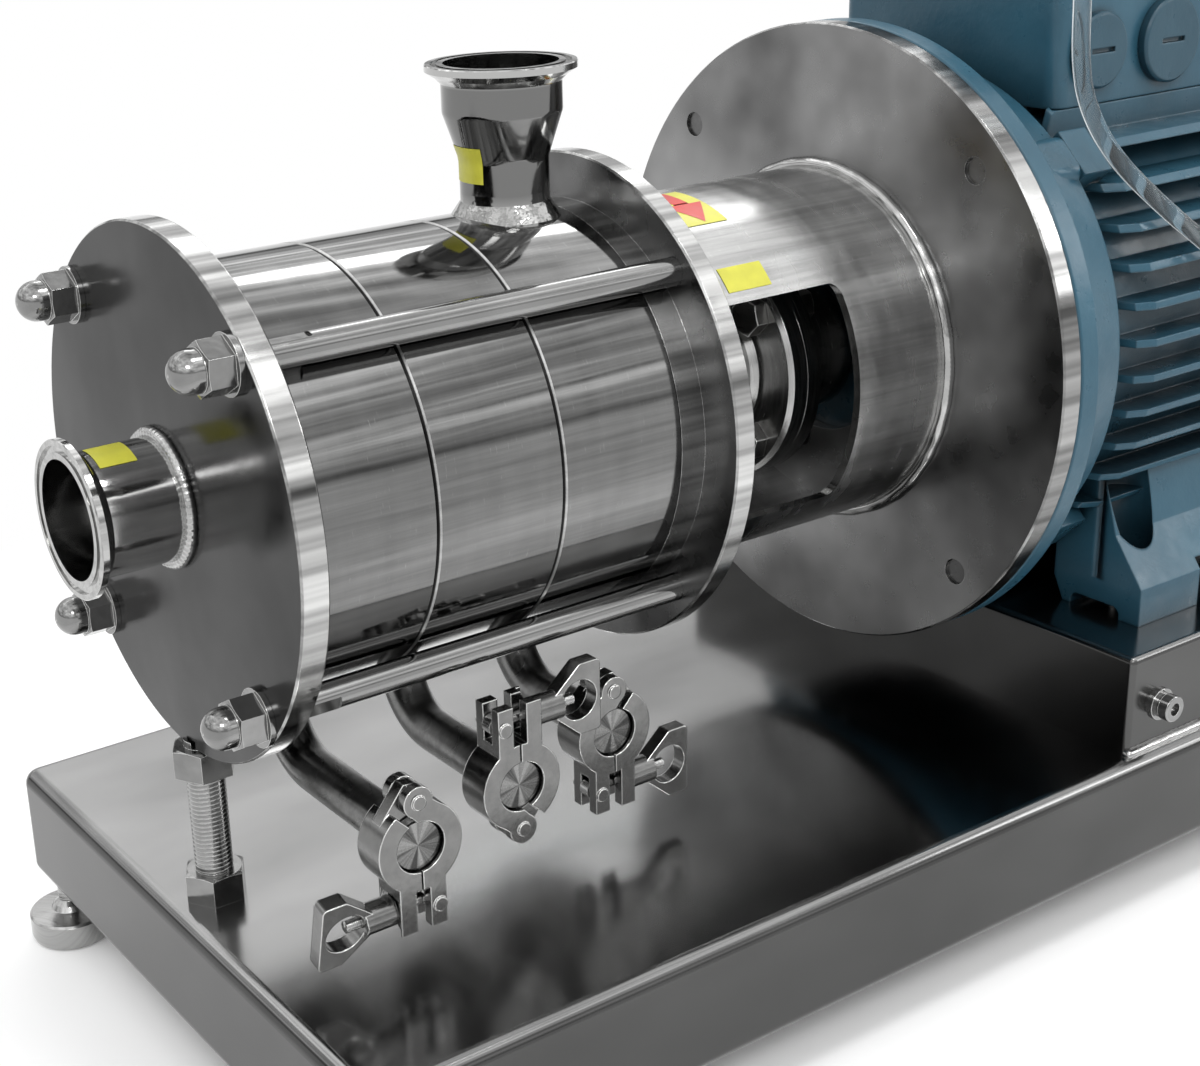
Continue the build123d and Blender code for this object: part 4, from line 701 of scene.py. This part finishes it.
def lathe(name, origin, axis, profile, material, body="machine", sides=40):
    """Turned piece from (along, radius) pairs in millimetres."""
    turn = Vector(axis).to_track_quat("Z", "Y").to_matrix()
    vertices = []
    for along, radius in profile:
        for j in range(sides):
            angle = tau * j / sides
            vertices.append(origin + turn @ Vector((radius * cos(angle), radius * sin(angle), along)) * MM)
    faces = grid_faces(len(profile), sides, False, True)
    faces += [tuple(range(sides))[::-1], tuple(range((len(profile) - 1) * sides, len(profile) * sides))]
    return piece(name, vertices, faces, material, body, smooth=False)


def earth_screw():
    """Socket-head screw with its washers on the near face of the motor's plinth."""
    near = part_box("motor_plinth")[0].y / MM
    centre = at(earth_screw_place[0], near, earth_screw_place[1])
    lathe("earth_washer", centre, (0, -1, 0), ((0, 8.0), (1.4, 8.0), (1.6, 7.8)), smooth_small)
    lathe("earth_spring_washer", centre, (0, -1, 0), ((1.6, 6.2), (3.6, 6.2)), smooth_small)
    head = ((3.6, 6.0), (3.9, 6.5), (8.4, 6.5), (8.8, 6.0), (8.8, 3.2), (5.4, 3.2))
    lathe("earth_screw", centre, (0, -1, 0), head, smooth_small)


# Hose: its route is the same as the solid's, in millimetres from the plate's face

hose_diameter = 8.0
hose_route = [
    (220, 112, 0), (220, 146, 0), (231, 177, -1), (262, 195, -4), (306, 199, -6), (354, 193, -3),
    (400, 183, 5), (440, 172, 20), (474, 162, 42), (500, 150, 72), (514, 137, 108), (520, 124, 144),
    (518, 108, 178), (508, 82, 213), (490, 48, 222), (468, 10, 218), (448, -26, 217), (432, -56, 217),
    (419, -80, 208), (409.5, -96, 188), (405.5, -101.4, 162), (404.5, -103, 138), (408, -105, 117),
    (420, -111, 94), (442, -121, 71), (466, -131, 50), (505, -142, 20), (548, -150, -14),
    (590, -154, -52), (632, -155, -88), (672, -153, -122), (706, -147, -152), (740, -138, -174),
    (774, -128, -175.6),
]


def hose():
    curve = bpy.data.curves.new("cooling_hose_tube", "CURVE")
    curve.dimensions = "3D"
    curve.bevel_depth = hose_diameter / 2 * MM
    curve.bevel_resolution = 6
    curve.resolution_u = 8
    spline = curve.splines.new("NURBS")
    spline.points.add(len(hose_route) - 1)
    for point, place in zip(spline.points, hose_route):
        point.co = (*at(*place), 1)
    spline.order_u = 3
    spline.use_endpoint_u = True
    tube = bpy.data.objects.new("hose_tube", curve)
    bpy.context.scene.collection.objects.link(tube)
    curve.materials.append(finishes["clear_hose"])
    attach(tube, "machine")
    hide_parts("cooling_hose")


# Stage, light and camera

def stage():
    reach = 30.0
    corners = [(-reach, -reach, 0), (reach, -reach, 0), (reach, reach, 0), (-reach, reach, 0)]
    mesh = bpy.data.meshes.new("floor")
    mesh.from_pydata(corners, [], [(0, 1, 2, 3)])
    mesh.materials.append(stage_material("floor_paper", floor_colour))
    floor = bpy.data.objects.new("floor", mesh)
    bpy.context.scene.collection.objects.link(floor)


def softbox(name, place, target, size, power):
    lamp = bpy.data.lights.new(name, "AREA")
    lamp.shape = "RECTANGLE"
    lamp.size, lamp.size_y = size
    lamp.energy = power
    holder = bpy.data.objects.new(name, lamp)
    holder.location = place
    holder.rotation_euler = (Vector(target) - Vector(place)).to_track_quat("-Z", "Y").to_euler()
    bpy.context.scene.collection.objects.link(holder)


def light():
    """Workshop light: bright at ceiling height, broken by darker things, over a low white backdrop."""
    world = bpy.data.worlds.new("room")
    bpy.context.scene.world = world
    world.use_nodes = True
    room = Nodes(world.node_tree, "Generated")
    height = room.node("ShaderNodeSeparateXYZ", {0: room.place}).outputs["Z"]
    ramp = room.node("ShaderNodeValToRGB", {0: height})
    stops = ((0.0, 0.14), (0.12, 0.22), (0.34, 1.2), (0.62, 1.6), (0.88, 1.5), (1.0, 0.9))
    while len(ramp.color_ramp.elements) < len(stops):
        ramp.color_ramp.elements.new(0.5)
    for element, (position, level) in zip(ramp.color_ramp.elements, stops):
        element.position = position
        element.color = (level, level, level, 1)
    things = room.spread(room.noise(room.stretched((2.6, 2.6, 7)), 1, 3, 0.6), 0.45, 1.4, 0.35, 0.65)
    lines = room.spread(room.noise(room.stretched((1.2, 1.2, 16)), 1, 4, 0.7), 0.4, 1.6, 0.35, 0.65)
    lit = room.sums("MULTIPLY", ramp.outputs["Color"], room.sums("MULTIPLY", things, lines))
    path = room.node("ShaderNodeLightPath").outputs
    mirrored = room.sums("MAXIMUM", path["Is Glossy Ray"], path["Is Transmission Ray"])
    seen = room.sums("MAXIMUM", path["Is Camera Ray"], mirrored)
    backdrop = room.sums("MULTIPLY", seen, room.spread(height, 1, 0, 0.10, 0.14))
    level = room.node("ShaderNodeMix", {"Factor": backdrop, "A": lit, "B": 1.0}).outputs["Result"]
    room.tree.links.new(level, room.tree.nodes["Background"].inputs["Strength"])
    room.tree.nodes["Background"].inputs["Color"].default_value = (1, 1, 1, 1)
    centre = (0, 0, 0.25)
    softbox("key_light", (-1.4, -1.9, 2.1), centre, (0.8, 0.45), 18)
    softbox("top_light", (0.2, -0.8, 2.3), centre, (0.6, 0.4), 12)
    softbox("side_light", (1.9, -1.5, 1.3), centre, (0.3, 1.2), 9)
    softbox("back_light", (1.2, 1.6, 2.2), centre, (2.2, 0.35), 12)


def camera():
    data = bpy.data.cameras.new("photo_camera")
    data.lens = lens_length
    data.sensor_width = sensor_width
    data.shift_x = sideways_shift
    data.clip_start = 0.02
    data.clip_end = 100
    holder = bpy.data.objects.new("photo_camera", data)
    azimuth, elevation = radians(look_azimuth), radians(look_elevation)
    look = Vector((cos(azimuth) * cos(elevation), sin(azimuth) * cos(elevation), sin(elevation)))
    level = look.to_track_quat("-Z", "Y").to_matrix()
    turned = Matrix.Rotation(radians(camera_roll), 3, look) @ level
    holder.matrix_world = Matrix.Translation(at(*eye_from_plate)) @ turned.to_4x4()
    bpy.context.scene.collection.objects.link(holder)
    bpy.context.scene.camera = holder


def main():
    dress_frame()
    welds()
    threads()
    earth_screw()
    labels()
    hose()
    stage()
    light()
    camera()
    bpy.context.scene.view_settings.view_transform = "Standard"


main()
